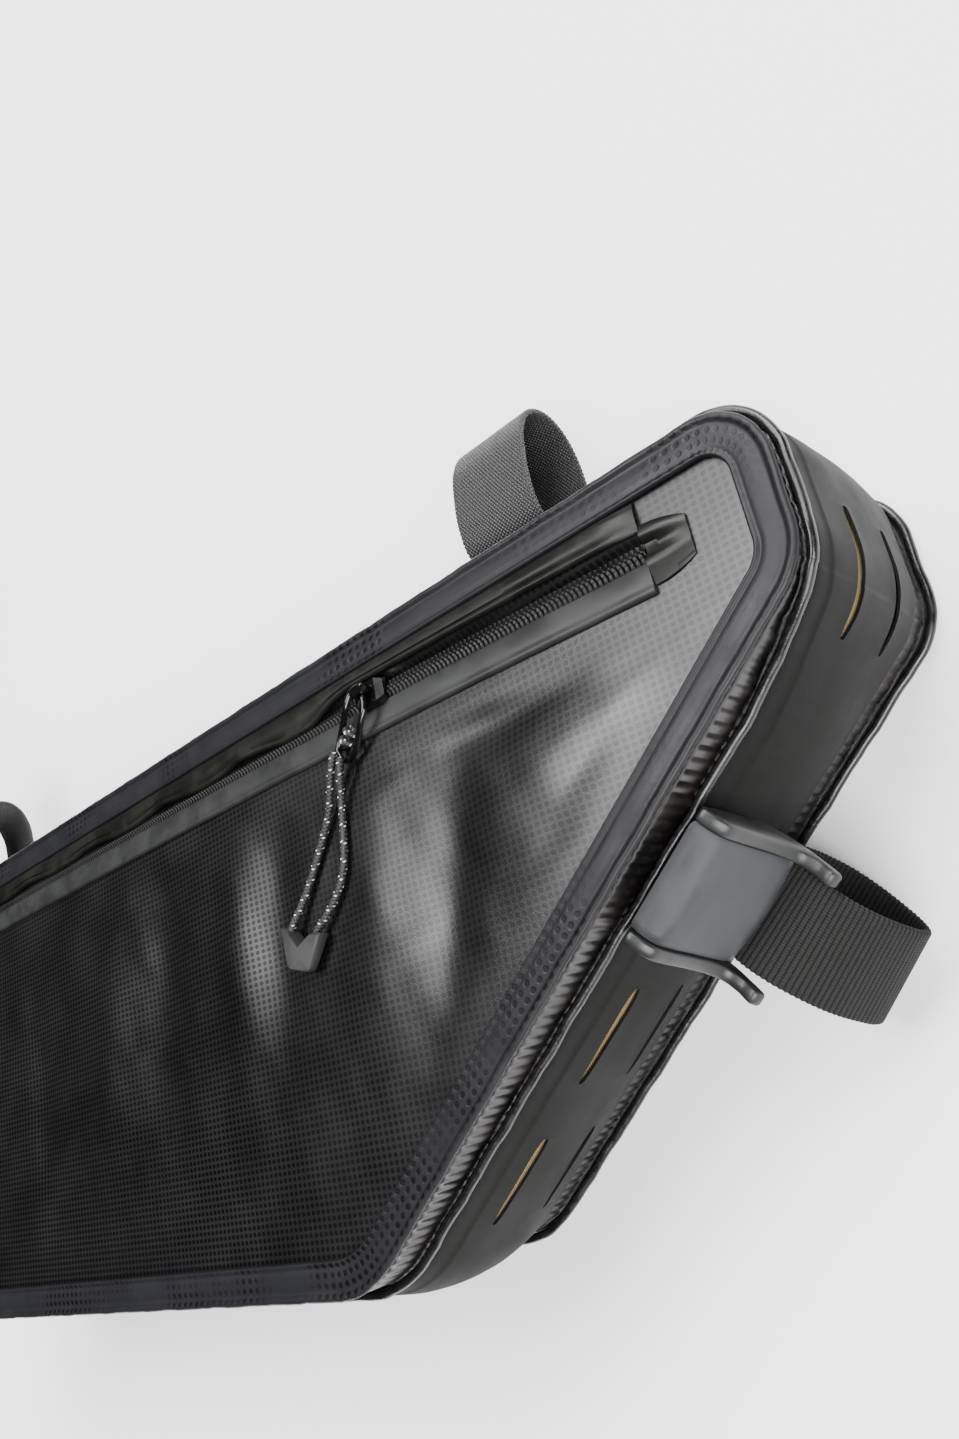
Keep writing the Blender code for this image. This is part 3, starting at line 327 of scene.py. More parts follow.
def ahead(station):
    """Distance past the middle of the lower nose corner, negative before it."""
    station = np.asarray(station, float) % PERIMETER
    return np.where(station < PERIMETER / 2, station, station - PERIMETER)


def past_nose(station):
    """0 round the nose, rising to 1 along the top and the lower front edge."""
    along = ahead(station)
    nose_run = NOSE_HEIGHT + NOSE_TOP_RADIUS
    down = smoothstep(-0.5 * NOSE_LOW_RADIUS, 2.0 * NOSE_LOW_RADIUS, along)
    up = smoothstep(-0.8 * nose_run, -1.5 * nose_run, along)
    return np.maximum(down, up)


def strip_width(station):
    return NOSE_STRIP + (EDGE_STRIP - NOSE_STRIP) * past_nose(station)


def crown(height, station):
    high = DEPTH - strip_width(station)
    reach = np.where(height > MIDDLE, high - MIDDLE, MIDDLE - EDGE_STRIP)
    share = (height - MIDDLE) / reach
    rise = NOSE_CROWN + (EDGE_CROWN - NOSE_CROWN) * past_nose(station)
    return GAP + rise * np.maximum(1.0 - share * share, 0.0)


def ring(name, rows, look, closed=True):
    """Sweep rows of (inset, height) round the outline; either may be an array."""
    points = []
    for inset, height in rows:
        spots = PLACES - NORMALS * np.broadcast_to(inset, STATIONS.shape)[:, None]
        points.append(np.column_stack([spots, np.broadcast_to(height, STATIONS.shape)]))
    points = np.array(points)
    around = lengths(points[:, 0])
    return make_mesh(name, *put(loft(points, STATIONS, around, PERIMETER, closed), look))


def put(lofted, look):
    verts, faces, uvs = lofted
    return verts, faces, look, uvs


# Material helpers

class Look:
    """A Principled material with short calls for its nodes."""

    def __init__(self, name, colour=(0.02, 0.02, 0.02), roughness=0.5, **sockets):
        self.material = bpy.data.materials.new(name)
        self.material.use_nodes = True
        self.tree = self.material.node_tree
        self.shader = self.tree.nodes["Principled BSDF"]
        self.shader.inputs["Base Color"].default_value = (*colour, 1.0)
        self.shader.inputs["Roughness"].default_value = roughness
        for key, value in sockets.items():
            self.shader.inputs[key.replace("_", " ")].default_value = value
        self.heights = []

    def node(self, kind, **inputs):
        made = self.tree.nodes.new(kind)
        for key, value in inputs.items():
            self.feed(made.inputs[key.replace("_", " ")], value)
        return made

    def feed(self, socket, value):
        if isinstance(value, bpy.types.NodeSocket):
            self.tree.links.new(value, socket)
        else:
            socket.default_value = value

    def math(self, operation, a, b=0.0, c=0.0):
        made = self.tree.nodes.new("ShaderNodeMath")
        made.operation = operation
        for socket, value in zip(made.inputs, (a, b, c)):
            self.feed(socket, value)
        return made.outputs[0]

    def ease(self, value, low, high, start=0.0, stop=1.0):
        made = self.tree.nodes.new("ShaderNodeMapRange")
        made.interpolation_type = "SMOOTHSTEP"
        for socket, item in zip(made.inputs, (value, low, high, start, stop)):
            self.feed(socket, item)
        return made.outputs[0]

    def mix(self, share, a, b):
        made = self.tree.nodes.new("ShaderNodeMix")
        made.data_type = "RGBA"
        self.feed(made.inputs["Factor"], share)
        for socket, value in zip((made.inputs[6], made.inputs[7]), (a, b)):
            if isinstance(value, tuple):
                value = (*value, 1.0)
            self.feed(socket, value)
        return made.outputs[2]

    def place(self):
        """X, Y and Z of the point on the object."""
        coords = self.tree.nodes.new("ShaderNodeTexCoord").outputs["Object"]
        return self.node("ShaderNodeSeparateXYZ", Vector=coords).outputs

    def lay(self):
        """Lengths along and across the piece."""
        made = self.tree.nodes.new("ShaderNodeUVMap")
        made.uv_map = "lay"
        return self.node("ShaderNodeSeparateXYZ", Vector=made.outputs[0]).outputs

    def noise(self, scale, detail=3.0, vector=None, roughness=0.55):
        if vector is None:
            vector = self.tree.nodes.new("ShaderNodeTexCoord").outputs["Object"]
        made = self.node("ShaderNodeTexNoise", Vector=vector, Scale=scale, Detail=detail,
                         Roughness=roughness)
        return made.outputs[0]

    def cell(self, value, pitch):
        """Signed place inside a repeating cell, from -0.5 to 0.5."""
        return self.math("SUBTRACT", self.math("FRACT", self.math("DIVIDE", value, pitch)), 0.5)

    def wave(self, value, pitch, power=1.0):
        """Round ribs from 0 to 1 with the given pitch."""
        turn = self.math("MULTIPLY", value, math.pi / pitch)
        rib = self.math("ABSOLUTE", self.math("SINE", turn))
        return rib if power == 1.0 else self.math("POWER", rib, power)

    def raise_by(self, height, distance, strength=1.0):
        """Add one bump, in metres, on top of the ones before it."""
        made = self.node("ShaderNodeBump", Height=height, Distance=distance, Strength=strength)
        if self.heights:
            self.tree.links.new(self.heights[-1], made.inputs["Normal"])
        self.heights.append(made.outputs["Normal"])
        self.tree.links.new(self.heights[-1], self.shader.inputs["Normal"])

    def set(self, name, value):
        self.feed(self.shader.inputs[name], value)


def grid_cloth():
    """Coated cloth: a dark dotted grid under a clear satin film."""
    look = Look("grid_cloth", (0.02, 0.02, 0.022), 0.4)
    x, y, z = look.place()
    across = look.cell(x, 0.00180)
    down = look.cell(y, 0.00155)
    round_x = look.math("MULTIPLY", look.math("ABSOLUTE", across), 2.0)
    round_y = look.math("MULTIPLY", look.math("ABSOLUTE", down), 2.0)
    far = look.math("ADD", look.math("POWER", round_x, 2.0), look.math("POWER", round_y, 2.0))
    dot = look.ease(far, 0.25, 0.75, 1.0, 0.0)
    thread = look.math("MULTIPLY", look.wave(x, 0.00035), look.wave(y, 0.00039))
    patch = look.noise(22.0, 2.0)
    lattice = look.mix(look.ease(patch, 0.35, 0.7), (0.0030, 0.0030, 0.0034), (0.0056, 0.0056, 0.0062))
    look.set("Base Color", look.mix(dot, lattice, (0.0005, 0.0005, 0.0006)))
    look.set("Roughness", look.ease(look.noise(60.0, 3.0), 0.3, 0.7, 0.31, 0.38))
    hidden = look.ease(x, 0.02, 0.11, 0.24, 0.52)
    look.set("Specular IOR Level", look.ease(dot, 0.0, 1.0, 0.62, hidden))
    look.raise_by(dot, 0.00001, 0.5)
    look.raise_by(thread, 0.00002, 0.35)
    look.raise_by(look.noise(900.0, 2.0), 0.00003, 0.3)
    return look.material


def flange_cloth():
    look = Look("flange_film", (0.018, 0.018, 0.020), 0.38, Specular_IOR_Level=0.22)
    along, across, rest = look.lay()
    cell_u = look.cell(along, 0.0026)
    cell_v = look.cell(across, 0.0021)
    far = look.math("ADD", look.math("POWER", look.math("ABSOLUTE", cell_u), 2.0),
                    look.math("POWER", look.math("ABSOLUTE", cell_v), 2.0))
    dot = look.ease(far, 0.04, 0.14, 1.0, 0.0)
    zone = look.ease(look.noise(35.0, 2.0), 0.42, 0.62)
    shown = look.math("MULTIPLY", dot, zone)
    look.set("Base Color", look.mix(shown, (0.009, 0.009, 0.0105), (0.0016, 0.0016, 0.0018)))
    look.set("Roughness", look.ease(look.noise(120.0, 4.0), 0.3, 0.7, 0.36, 0.48))
    look.raise_by(shown, 0.00008, 0.8)
    look.raise_by(look.noise(260.0, 4.0), 0.00012, 0.35)
    return look.material


def band_cloth():
    """Band: black film with ribs across it, brownish where it stretches."""
    look = Look("band_film", (0.010, 0.009, 0.009), 0.33)
    along, across, rest = look.lay()
    rib = look.wave(along, 0.0026, 1.6)
    worn = look.noise(140.0, 4.0)
    brown = look.math("MULTIPLY", rib, look.ease(worn, 0.35, 0.65))
    look.set("Base Color", look.mix(brown, (0.0016, 0.0014, 0.0014), (0.0095, 0.0062, 0.0050)))
    look.set("Roughness", look.ease(worn, 0.3, 0.7, 0.28, 0.44))
    look.raise_by(rib, 0.00035, 0.8)
    look.raise_by(look.noise(420.0, 3.0), 0.0001, 0.3)
    return look.material


def bead_film():
    look = Look("bead_film", (0.004, 0.004, 0.0045), 0.27)
    look.set("Roughness", look.ease(look.noise(300.0, 3.0), 0.3, 0.7, 0.22, 0.40))
    look.raise_by(look.noise(240.0, 3.0), 0.00025, 0.5)
    look.raise_by(look.noise(1200.0, 2.0), 0.00006, 0.4)
    return look.material


def edge_sheet():
    """Matte rubbery sheet with faint scuffs."""
    look = Look("edge_sheet", (0.015, 0.015, 0.0145), 0.7, Specular_IOR_Level=0.08)
    scuff = look.noise(46.0, 5.0)
    fine = look.noise(520.0, 3.0)
    tone = look.math("ADD", look.math("MULTIPLY", scuff, 0.7), look.math("MULTIPLY", fine, 0.3))
    look.set("Base Color", look.mix(look.ease(tone, 0.35, 0.68), (0.0050, 0.0050, 0.0048),
                                    (0.0085, 0.0085, 0.0081)))
    look.set("Roughness", look.ease(scuff, 0.3, 0.7, 0.52, 0.68))
    look.raise_by(look.noise(1500.0, 2.0), 0.00005, 0.4)
    look.raise_by(scuff, 0.0004, 0.25)
    return look.material


def woven_tan():
    look = Look("woven_tan", (0.40, 0.29, 0.13), 0.85)
    along, across, rest = look.lay()
    lean = look.math("ADD", along, across)
    tilt = look.math("SUBTRACT", along, across)
    weave = look.math("MULTIPLY", look.wave(lean, 0.0007), look.wave(tilt, 0.0007))
    look.set("Base Color", look.mix(weave, (0.10, 0.062, 0.022), (0.44, 0.30, 0.125)))
    look.raise_by(weave, 0.0002, 0.9)
    return look.material


GRID = grid_cloth()
FLANGE = flange_cloth()
BAND = band_cloth()
BEAD = bead_film()
EDGE = edge_sheet()
TAN = woven_tan()


# Side panel, flanges and band

def chains(inset):
    """Lower and upper Y of the outline, moved in, as functions of X."""
    spots = PLACES - NORMALS * inset
    first, last = int(np.argmin(spots[:, 0])), int(np.argmax(spots[:, 0]))
    size = len(spots)
    one = [spots[(first + k) % size] for k in range((last - first) % size + 1)]
    two = [spots[(first - k) % size] for k in range((first - last) % size + 1)]
    one, two = np.array(one), np.array(two)
    upper, lower = (one, two) if one[:, 1].mean() > two[:, 1].mean() else (two, one)
    return lower, upper


def zip_line(x):
    start = -LENGTH + ZIP_REAR
    share = np.maximum((np.asarray(x, float) - start) / (LENGTH - ZIP_REAR - ZIP_NOSE), 0.0)
    return -ZIP_DROP - ZIP_DIP * share ** 3


Fold = namedtuple("Fold", "along down long wide turn rise")
FOLDS = [
    Fold(0.410, 0.43, 0.20, 0.055, 85, 0.55),
    Fold(0.285, 0.47, 0.20, 0.070, 80, 0.55),
    Fold(0.368, 0.42, 0.20, 0.050, 83, -0.40),
    Fold(0.178, 0.24, 0.17, 0.045, -8, -0.65),
    Fold(0.150, 0.37, 0.15, 0.110, 45, 0.75),
    Fold(0.228, 0.48, 0.16, 0.050, 72, -0.55),
    Fold(0.500, 0.45, 0.22, 0.070, 82, -0.60),
    Fold(0.570, 0.50, 0.25, 0.080, 78, 0.50),
    Fold(0.680, 0.55, 0.22, 0.060, 95, -0.50),
    Fold(0.780, 0.50, 0.25, 0.090, 88, 0.60),
]


def edge_distance(x, y):
    run = (HEIGHT - NOSE_HEIGHT) / math.tan(DOWN_ANGLE)
    corners = [(0.0, -NOSE_HEIGHT), (-run, -HEIGHT), (-LENGTH + REAR_LEAN, -HEIGHT),
               (-LENGTH, 0.0), (0.0, 0.0)]
    nearest = np.full(np.shape(x), LENGTH)
    for start, stop in zip(corners, corners[1:] + corners[:1]):
        along = np.subtract(stop, start) / math.dist(start, stop)
        away = (x - start[0]) * along[1] - (y - start[1]) * along[0]
        nearest = np.minimum(nearest, away)
    return nearest


def fold_sum(x, y, folds):
    total = np.zeros(np.shape(x))
    for fold in folds:
        dx, dy = x + fold.along * LENGTH, y + fold.down * HEIGHT
        turn = math.radians(fold.turn)
        lengthwise = (dx * math.cos(turn) + dy * math.sin(turn)) / (fold.long * HEIGHT)
        crosswise = (dy * math.cos(turn) - dx * math.sin(turn)) / (fold.wide * HEIGHT)
        total += fold.rise * np.exp(-lengthwise ** 2 - crosswise ** 2)
    return total


def panel_rise(x, y):
    below_zip = zip_line(x) - TAPE_WIDTH - COIL_WIDTH - y
    edge = np.minimum(edge_distance(x, y) - BORDER_WIDTH, below_zip)
    return PANEL_SAG * fold_sum(x, y, FOLDS) * smoothstep(0.0, FADE, edge)


def side_cloth(name, top, rise, look, columns, rows, sign):
    """Sheet of cloth between the flanges, with its thickness turned under."""
    lower, upper = chains(PANEL_INSET + 0.001)
    low_x, high_x = lower[0, 0] + 1e-5, lower[-1, 0] - 1e-5
    share = np.linspace(0.0, 1.0, columns + 1)
    xs = low_x + (high_x - low_x) * (0.75 * share + 0.125 * (1 - np.cos(math.pi * share)))
    bottoms = np.interp(xs, lower[:, 0], lower[:, 1])
    tops = np.interp(xs, upper[:, 0], upper[:, 1])
    t = np.linspace(0.0, 1.0, rows + 1)[:, None]
    x = np.broadcast_to(xs, (rows + 1, columns + 1))
    y = bottoms + (tops - bottoms) * t
    height = top + rise(x, y)
    upper_side = np.stack([x, y, height], 2)
    lower_side = upper_side - np.array([0.0, 0.0, sign * PANEL_WALL])
    sheet = np.concatenate([upper_side, lower_side[::-1]])
    v = np.linspace(0.0, 2 * HEIGHT, len(sheet))
    return make_mesh(name, *put(loft(sheet, xs, v, None, True), look))


def near_rise(x, y):
    line = zip_line(x)
    in_zip = smoothstep(-LENGTH + ZIP_REAR - 0.004, -LENGTH + ZIP_REAR, x)
    in_zip = in_zip * smoothstep(-ZIP_NOSE + 0.002, -ZIP_NOSE - 0.001, x)
    trough = -0.0022 * in_zip * smoothstep(0.0045, 0.0028, np.abs(y - line))
    small = 0.00010 * ripple(x * 0.9 + y * 0.4, 0.031, 1.0) + 0.00008 * ripple(y - 0.3 * x, 0.023, 2.0)
    below_zip = line - TAPE_WIDTH - COIL_WIDTH - y
    edge = np.minimum(edge_distance(x, y) - BORDER_WIDTH, below_zip)
    return panel_rise(x, y) + trough + small * smoothstep(0.0, FADE, edge)


near_cloth = side_cloth("near_cloth", PANEL_TOP, near_rise, GRID, 330, 110, 1)
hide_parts("near_panel")


def far_rise(x, y):
    inside = smoothstep(0.0, 0.02, edge_distance(x, y) - BORDER_WIDTH)
    return inside * (0.0010 * ripple(x + 0.3 * y, 0.11, 3.0) * 0.4 + 0.0004)


far_cloth = side_cloth("far_cloth", BORDER_WALL + GAP, far_rise, GRID, 120, 40, -1)
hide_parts("far_panel")

wobble = 0.00012 * ripple(STATIONS, 0.021, 0.4) + 0.00007 * ripple(STATIONS, 0.0047, 2.2)
lift = 0.00010 * ripple(STATIONS, 0.017, 1.4)
BASE = DEPTH - BORDER_WALL
NEAR_FLANGE = [
    (0.0006, BASE - 0.0001),
    (0.0, BASE + 0.0001),
    (-0.0003 + wobble, BASE + 0.0005),
    (-0.0003 + wobble, BASE + 0.0010),
    (0.0001 + wobble, BASE + 0.0014 + lift),
    (0.0006 + wobble, BASE + 0.00155 + lift),
    (0.0011 + wobble, BASE + 0.0014 + lift),
    (0.0015 + wobble, BASE + 0.00105),
    (0.0019 + wobble, BASE + 0.00085),
    (0.0024, BASE + 0.00095 + 0.5 * lift),
    (0.0032, BASE + 0.00108 + 0.5 * lift),
    (0.0042, BASE + 0.00112),
    (0.0052, BASE + 0.00108),
    (0.0060, BASE + 0.00108),
    (0.0064, BASE + 0.00092),
    (0.0067, BASE + 0.00088),
    (0.0070, BASE + 0.00100),
    (0.0074, BASE + 0.00128),
    (0.0077, BASE + 0.00130),
    (0.0080, BASE + 0.00105),
    (0.00812, BASE + 0.0004),
    (0.0079, BASE - 0.0001),
]
near_flange = ring("near_flange", NEAR_FLANGE, FLANGE)
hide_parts("near_border")

far_wave = 0.00025 * ripple(STATIONS, 0.013, 0.9)
FAR_FLANGE = [
    (0.0004, 0.0015),
    (-0.0003 + far_wave, 0.0012),
    (-0.0004 + far_wave, 0.0006),
    (0.0001 + far_wave, 0.0001),
    (0.0008, 0.0),
    (0.0040, 0.0),
    (0.0072, 0.0),
    (0.0079, 0.0003),
    (0.0080, 0.0012),
    (0.0076, 0.0016),
]
far_flange = ring("far_flange", FAR_FLANGE, FLANGE)
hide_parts("far_border")


def bead(name, height, radius, node, seed):
    """Piping with a slightly uneven line."""
    sway = 0.00018 * ripple(STATIONS, 0.019, seed)
    rows = []
    for side in range(12):
        turn = 2 * math.pi * side / 12
        inset = -GAP - BEAD_RADIUS + radius * math.cos(turn) + np.minimum(sway, 0.0001)
        rows.append((inset, height + radius * math.sin(turn) + sway))
    made = ring(name, rows, BEAD)
    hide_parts(node)
    return made


NEAR_BEAD_HEIGHT = np.minimum(DEPTH - strip_width(STATIONS) + BEAD_RADIUS + GAP,
                              DEPTH - BORDER_WALL - GAP - BEAD_RADIUS)
bead("near_piping", NEAR_BEAD_HEIGHT, 0.00105, "near_bead", 0.3)
bead("far_piping", BORDER_WALL + GAP + BEAD_RADIUS, 0.00105, "far_bead", 1.9)

tuck = 0.00016 * ripple(STATIONS, 0.009, 0.2)
BAND_LOW = BORDER_WALL + GAP
band_rows = [(0.0003, BAND_LOW), (0.00005 + tuck, 0.0035), (-0.0001 + tuck, 0.0065)]
band_rows += [(0.0 + 0.5 * tuck, 0.010), (0.0, 0.013), (0.0, MIDDLE), (0.0, DEPTH - 0.013)]
band_rows += [(0.00005 + 0.5 * tuck, DEPTH - 0.010), (0.0001 + tuck, DEPTH - 0.0065)]
band_rows += [(0.0001 + tuck, DEPTH - 0.0035), (0.0004, DEPTH - BAND_LOW)]
band_rows += [(WALL, DEPTH - BAND_LOW), (WALL, MIDDLE), (WALL, BAND_LOW)]
band = ring("band", band_rows, BAND)
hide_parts("gusset_band")

backing_half = SLOT_SPREAD / 2 + BACKING_MARGIN
strap_stations = (DOWN_STRAP_PLACE, float(top_station(TOP_STRAP_PLACE)),
                  float(top_station(LENGTH - TOP_REAR_PLACE)))
strap_gap = np.min([np.abs((STATIONS - spot + PERIMETER / 2) % PERIMETER - PERIMETER / 2)
                    for spot in strap_stations], axis=0)
backing_middle = MIDDLE + NOSE_SLOT_RISE * (1.0 - past_nose(STATIONS))
backing_rows = []
for side in np.linspace(-1, 1, 9):
    row = backing_middle + side * backing_half
    close = np.maximum(crown(row, STATIONS) + GAP, GAP + BACKING_WALL)
    out = GAP + BACKING_WALL + (close - GAP - BACKING_WALL) * smoothstep(0.020, 0.027, strap_gap)
    backing_rows.append((-out, row))
backing_rows += [(-GAP, backing_middle + backing_half), (-GAP, backing_middle - backing_half)]
backing = ring("tan_backing", backing_rows, TAN)
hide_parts("slot_backing")


# Edge panel with its strap slots

def slot_pairs():
    pairs = [(-NOSE_SLOT_SHIFT, NOSE_SLOT_LENGTH)]
    pairs += [(DOWN_STRAP_PLACE + SLOT_PITCH * index, SLOT_LENGTH) for index in range(DOWN_PAIRS)]
    for index in range(TOP_PAIRS):
        pairs.append((float(top_station(TOP_STRAP_PLACE + TOP_PITCH * index)), SLOT_LENGTH))
    return pairs


def edge_stations():
    """Stations of the edge panel's columns, closer together at the slots."""
    marks = set(np.round(STATIONS, 7))
    for middle, length in slot_pairs():
        for step in range(-24, 25):
            marks.add(round((middle + length * step / 46) % PERIMETER, 7))
    marks = np.array(sorted(marks))
    keep = np.append(True, np.diff(marks) > 0.00025)
    return marks[keep]


def edge_panel():
    """Matte sheet that stands off the band, with slots cut through."""
    stations = edge_stations()
    places, normals = at_station(stations)
    high = DEPTH - strip_width(stations)
    low = np.full(len(stations), EDGE_STRIP)
    opening = np.zeros(len(stations))
    rise = NOSE_SLOT_RISE * (1.0 - past_nose(stations))
    for middle, length in slot_pairs():
        away = (stations - middle + PERIMETER / 2) % PERIMETER - PERIMETER / 2
        share = np.clip(np.abs(away) / (length / 2), 0.0, 1.0)
        wide = 0.0018 if length == NOSE_SLOT_LENGTH else 0.0014
        width = wide * np.sqrt(np.clip(1.0 - share ** 5, 0.0, 1.0))
        width = width * (1.0 - 0.35 * np.clip(away / length + 0.5, 0.0, 1.0))
        opening = np.maximum(opening, width)
    lip = np.maximum(opening, 0.00025)
    near_slot = MIDDLE + rise + SLOT_SPREAD / 2
    far_slot = MIDDLE + rise - SLOT_SPREAD / 2
    rows = [low, low + 0.0006, low + 0.0014, low + 0.0028]
    rows += [far_slot - 0.0045 + 0 * low, far_slot - 0.0028 + 0 * low]
    rows += [far_slot - lip - 0.0004, far_slot - lip, far_slot + lip, far_slot + lip + 0.0004]
    rows += [far_slot + share * SLOT_SPREAD + 0 * low for share in (0.16, 0.27, 0.38, 0.50, 0.62, 0.73, 0.84)]
    rows += [near_slot - lip - 0.0004, near_slot - lip, near_slot + lip, near_slot + lip + 0.0004]
    rows += [near_slot + 0.0028 + 0 * low]
    start = near_slot + 0.0044
    step_line = high - 0.0058
    rows += [start + (step_line - start) * share for share in (0.3, 0.65)]
    rows += [step_line - 0.0005, step_line, step_line + 0.0004, step_line + 0.0010]
    rows += [high - share for share in (0.0036, 0.0024, 0.0014, 0.0006, 0.0)]
    heights = np.sort(np.array(rows), axis=0)
    out = np.array([crown(row, stations) for row in heights]) + EDGE_WALL
    out -= 0.00028 * smoothstep(step_line + 0.0001, step_line + 0.0007, heights)
    out -= 0.0005 * (1 - smoothstep(0.0, 0.0012, high - heights))
    out -= 0.0005 * (1 - smoothstep(0.0, 0.0012, heights - low))
    for slot in (near_slot, far_slot):
        gap = np.abs(heights - slot)
        puff = np.exp(-((gap - opening) / 0.0012) ** 2) * smoothstep(0.0002, 0.0008, opening)
        out += 0.00016 * puff
    out += 0.00010 * ripple(stations, 0.047, 0.5) + 0.00006 * ripple(heights + 0.3 * stations, 0.019, 1.1)

    def shell(distance):
        spots = places[None] + normals[None] * distance[..., None]
        return np.concatenate([spots, heights[..., None]], axis=2)

    outer, inner = shell(out), shell(out - 0.5 * EDGE_WALL)
    sheet = np.concatenate([outer, inner[::-1]])
    count = len(heights)
    open_cell = np.zeros(sheet.shape[:2], bool)
    wide = opening > 0.0003
    both = wide & np.roll(wide, -1)
    cuts = []
    for slot in (far_slot, near_slot):
        row = int(np.argmin(np.abs(heights[:, 0] - (slot[0] - 0.00025))))
        open_cell[row, both] = True
        open_cell[2 * count - 2 - row, both] = True
        cuts.append(row)
    v = np.concatenate([heights[:, 0], DEPTH + heights[::-1, 0]])
    verts, faces, uvs = loft(sheet, stations, v, PERIMETER, True, open_cell)
    faces, uvs = faces.tolist(), uvs.reshape(-1, 4, 2).tolist()
    cols = len(stations)
    ends = (both & ~np.roll(both, 1), both & ~np.roll(both, -1))
    for row in cuts:
        def index(i, j, side):
            line = i if side == 0 else 2 * count - 1 - i
            return line * cols + j % cols
        for j in np.nonzero(both)[0]:
            for i, flip in ((row, False), (row + 1, True)):
                quad = [index(i, j, 0), index(i, j + 1, 0), index(i, j + 1, 1), index(i, j, 1)]
                faces.append(quad[::-1] if flip else quad)
                uvs.append([(stations[j], heights[i, 0])] * 4)
        for j in np.nonzero(ends[0])[0]:
            faces.append([index(row + 1, j, 0), index(row, j, 0), index(row, j, 1), index(row + 1, j, 1)])
            uvs.append([(stations[j], heights[row, 0])] * 4)
        for j in np.nonzero(ends[1])[0]:
            faces.append([index(row, j + 1, 0), index(row + 1, j + 1, 0),
                          index(row + 1, j + 1, 1), index(row, j + 1, 1)])
            uvs.append([(stations[j], heights[row, 0])] * 4)
    return make_mesh("edge_sheet", verts, faces, EDGE, np.array(uvs).reshape(-1, 2), sharp=60)


edge = edge_panel()
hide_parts("edge_panel")


# Webbing

def row_slopes(rows):
    spans = np.linalg.norm(np.diff(rows, axis=0), axis=1)[:, None]
    leads = np.diff(rows, axis=0) / spans
    inner = (leads[:-1] * spans[1:] + leads[1:] * spans[:-1]) / (spans[1:] + spans[:-1])
    return spans, np.vstack([leads[:1], inner, leads[-1:]])


def curve_points(rows, steps):
    """Points on a smooth curve through rows, with some steps in each span."""
    rows = np.array(rows, float)
    spans, slopes = row_slopes(rows)
    t = (np.arange(steps) / steps)[None, :, None]
    a, b = rows[:-1, None], rows[1:, None]
    p, q = slopes[:-1, None] * spans[:, None], slopes[1:, None] * spans[:, None]
    start, stop = (1 + 2 * t) * (1 - t) ** 2, t * t * (3 - 2 * t)
    fine = a * start + b * stop + p * t * (1 - t) ** 2 + q * t * t * (t - 1)
    return np.vstack([fine.reshape(-1, rows.shape[1]), rows[-1:]])


def even_points(rows, spacing=None, count=None):
    fine = curve_points(rows, 16)
    along = lengths(fine)
    if count is None:
        count = max(int(along[-1] / spacing), 2)
    places = np.linspace(0.0, along[-1], count + 1)
    return np.stack([np.interp(places, along, fine[:, k]) for k in range(fine.shape[1])], 1)


UNDER = GAP + BACKING_WALL + GAP + WEB_THICK / 2
SLOT_OUT = GAP + EDGE_CROWN + EDGE_WALL + GAP
SLOT_TURN = [(0.30, 0.0), (0.60, 0.0), (0.82, 0.0), (0.94, 0.25), (1.00, 0.90)]
LoopRow = namedtuple("LoopRow", "across out twist")
TOP_LOOP_ROWS = [
    LoopRow(0.60, 0.19, 0.0), LoopRow(0.86, 0.30, 0.0), LoopRow(0.94, 0.44, 0.0),
    LoopRow(0.91, 0.64, 0.0), LoopRow(0.80, 0.82, 0.0), LoopRow(0.57, 0.95, 0.0),
    LoopRow(0.31, 1.00, 0.0), LoopRow(0.06, 1.00, 0.0), LoopRow(-0.20, 0.94, 0.0),
    LoopRow(-0.40, 0.81, 0.0), LoopRow(-0.49, 0.62, 0.0), LoopRow(-0.53, 0.33, 0.0),
    LoopRow(-0.51, 0.17, 0.0),
]
DOWN_LOOP_ROWS = [
    LoopRow(-0.77, 0.23, 0.02), LoopRow(-1.15, 0.31, 0.08), LoopRow(-1.46, 0.45, 0.14),
    LoopRow(-1.55, 0.62, 0.20), LoopRow(-1.52, 0.79, 0.27), LoopRow(-1.43, 0.92, 0.32),
    LoopRow(-1.28, 0.99, 0.34), LoopRow(-1.05, 1.00, 0.34), LoopRow(-0.71, 0.95, 0.30),
    LoopRow(-0.37, 0.86, 0.24), LoopRow(-0.11, 0.73, 0.17), LoopRow(0.03, 0.60, 0.08),
]
BuckleRow = namedtuple("BuckleRow", "reach rise")
FIXED_BAR = BuckleRow(0.240, 0.114)
CAM_BAR = BuckleRow(0.751, 0.209)
ANCHOR_ROWS = [BuckleRow(0.418, 0.064), BuckleRow(0.551, 0.085), BuckleRow(0.660, 0.095)]
GRIP_ROWS = [BuckleRow(1.049, 0.641), BuckleRow(1.040, 0.541), BuckleRow(0.978, 0.427),
             BuckleRow(0.818, 0.345), BuckleRow(0.551, 0.264)]


def in_buckle(reach, rise):
    return DEPTH - BUCKLE_START - reach * BUCKLE_REACH, BUCKLE_FOOT + rise * BUCKLE_RISE


def slot_turn(side):
    half = side * SLOT_SPREAD / 2
    rows = [(MIDDLE + across * half, UNDER + lift * WEB_THICK, 0.0) for across, lift in SLOT_TURN]
    return rows + [(MIDDLE + half, SLOT_OUT, 0.0)]


def loop_rows(table, reach):
    return [(MIDDLE + row.across * SLOT_SPREAD, row.out * reach, row.twist * WEB_WIDTH / 2)
            for row in table]


def top_loop_rows():
    rows = slot_turn(1) + loop_rows(TOP_LOOP_ROWS, TOP_LOOP) + slot_turn(-1)[::-1]
    return rows + rows[:1]


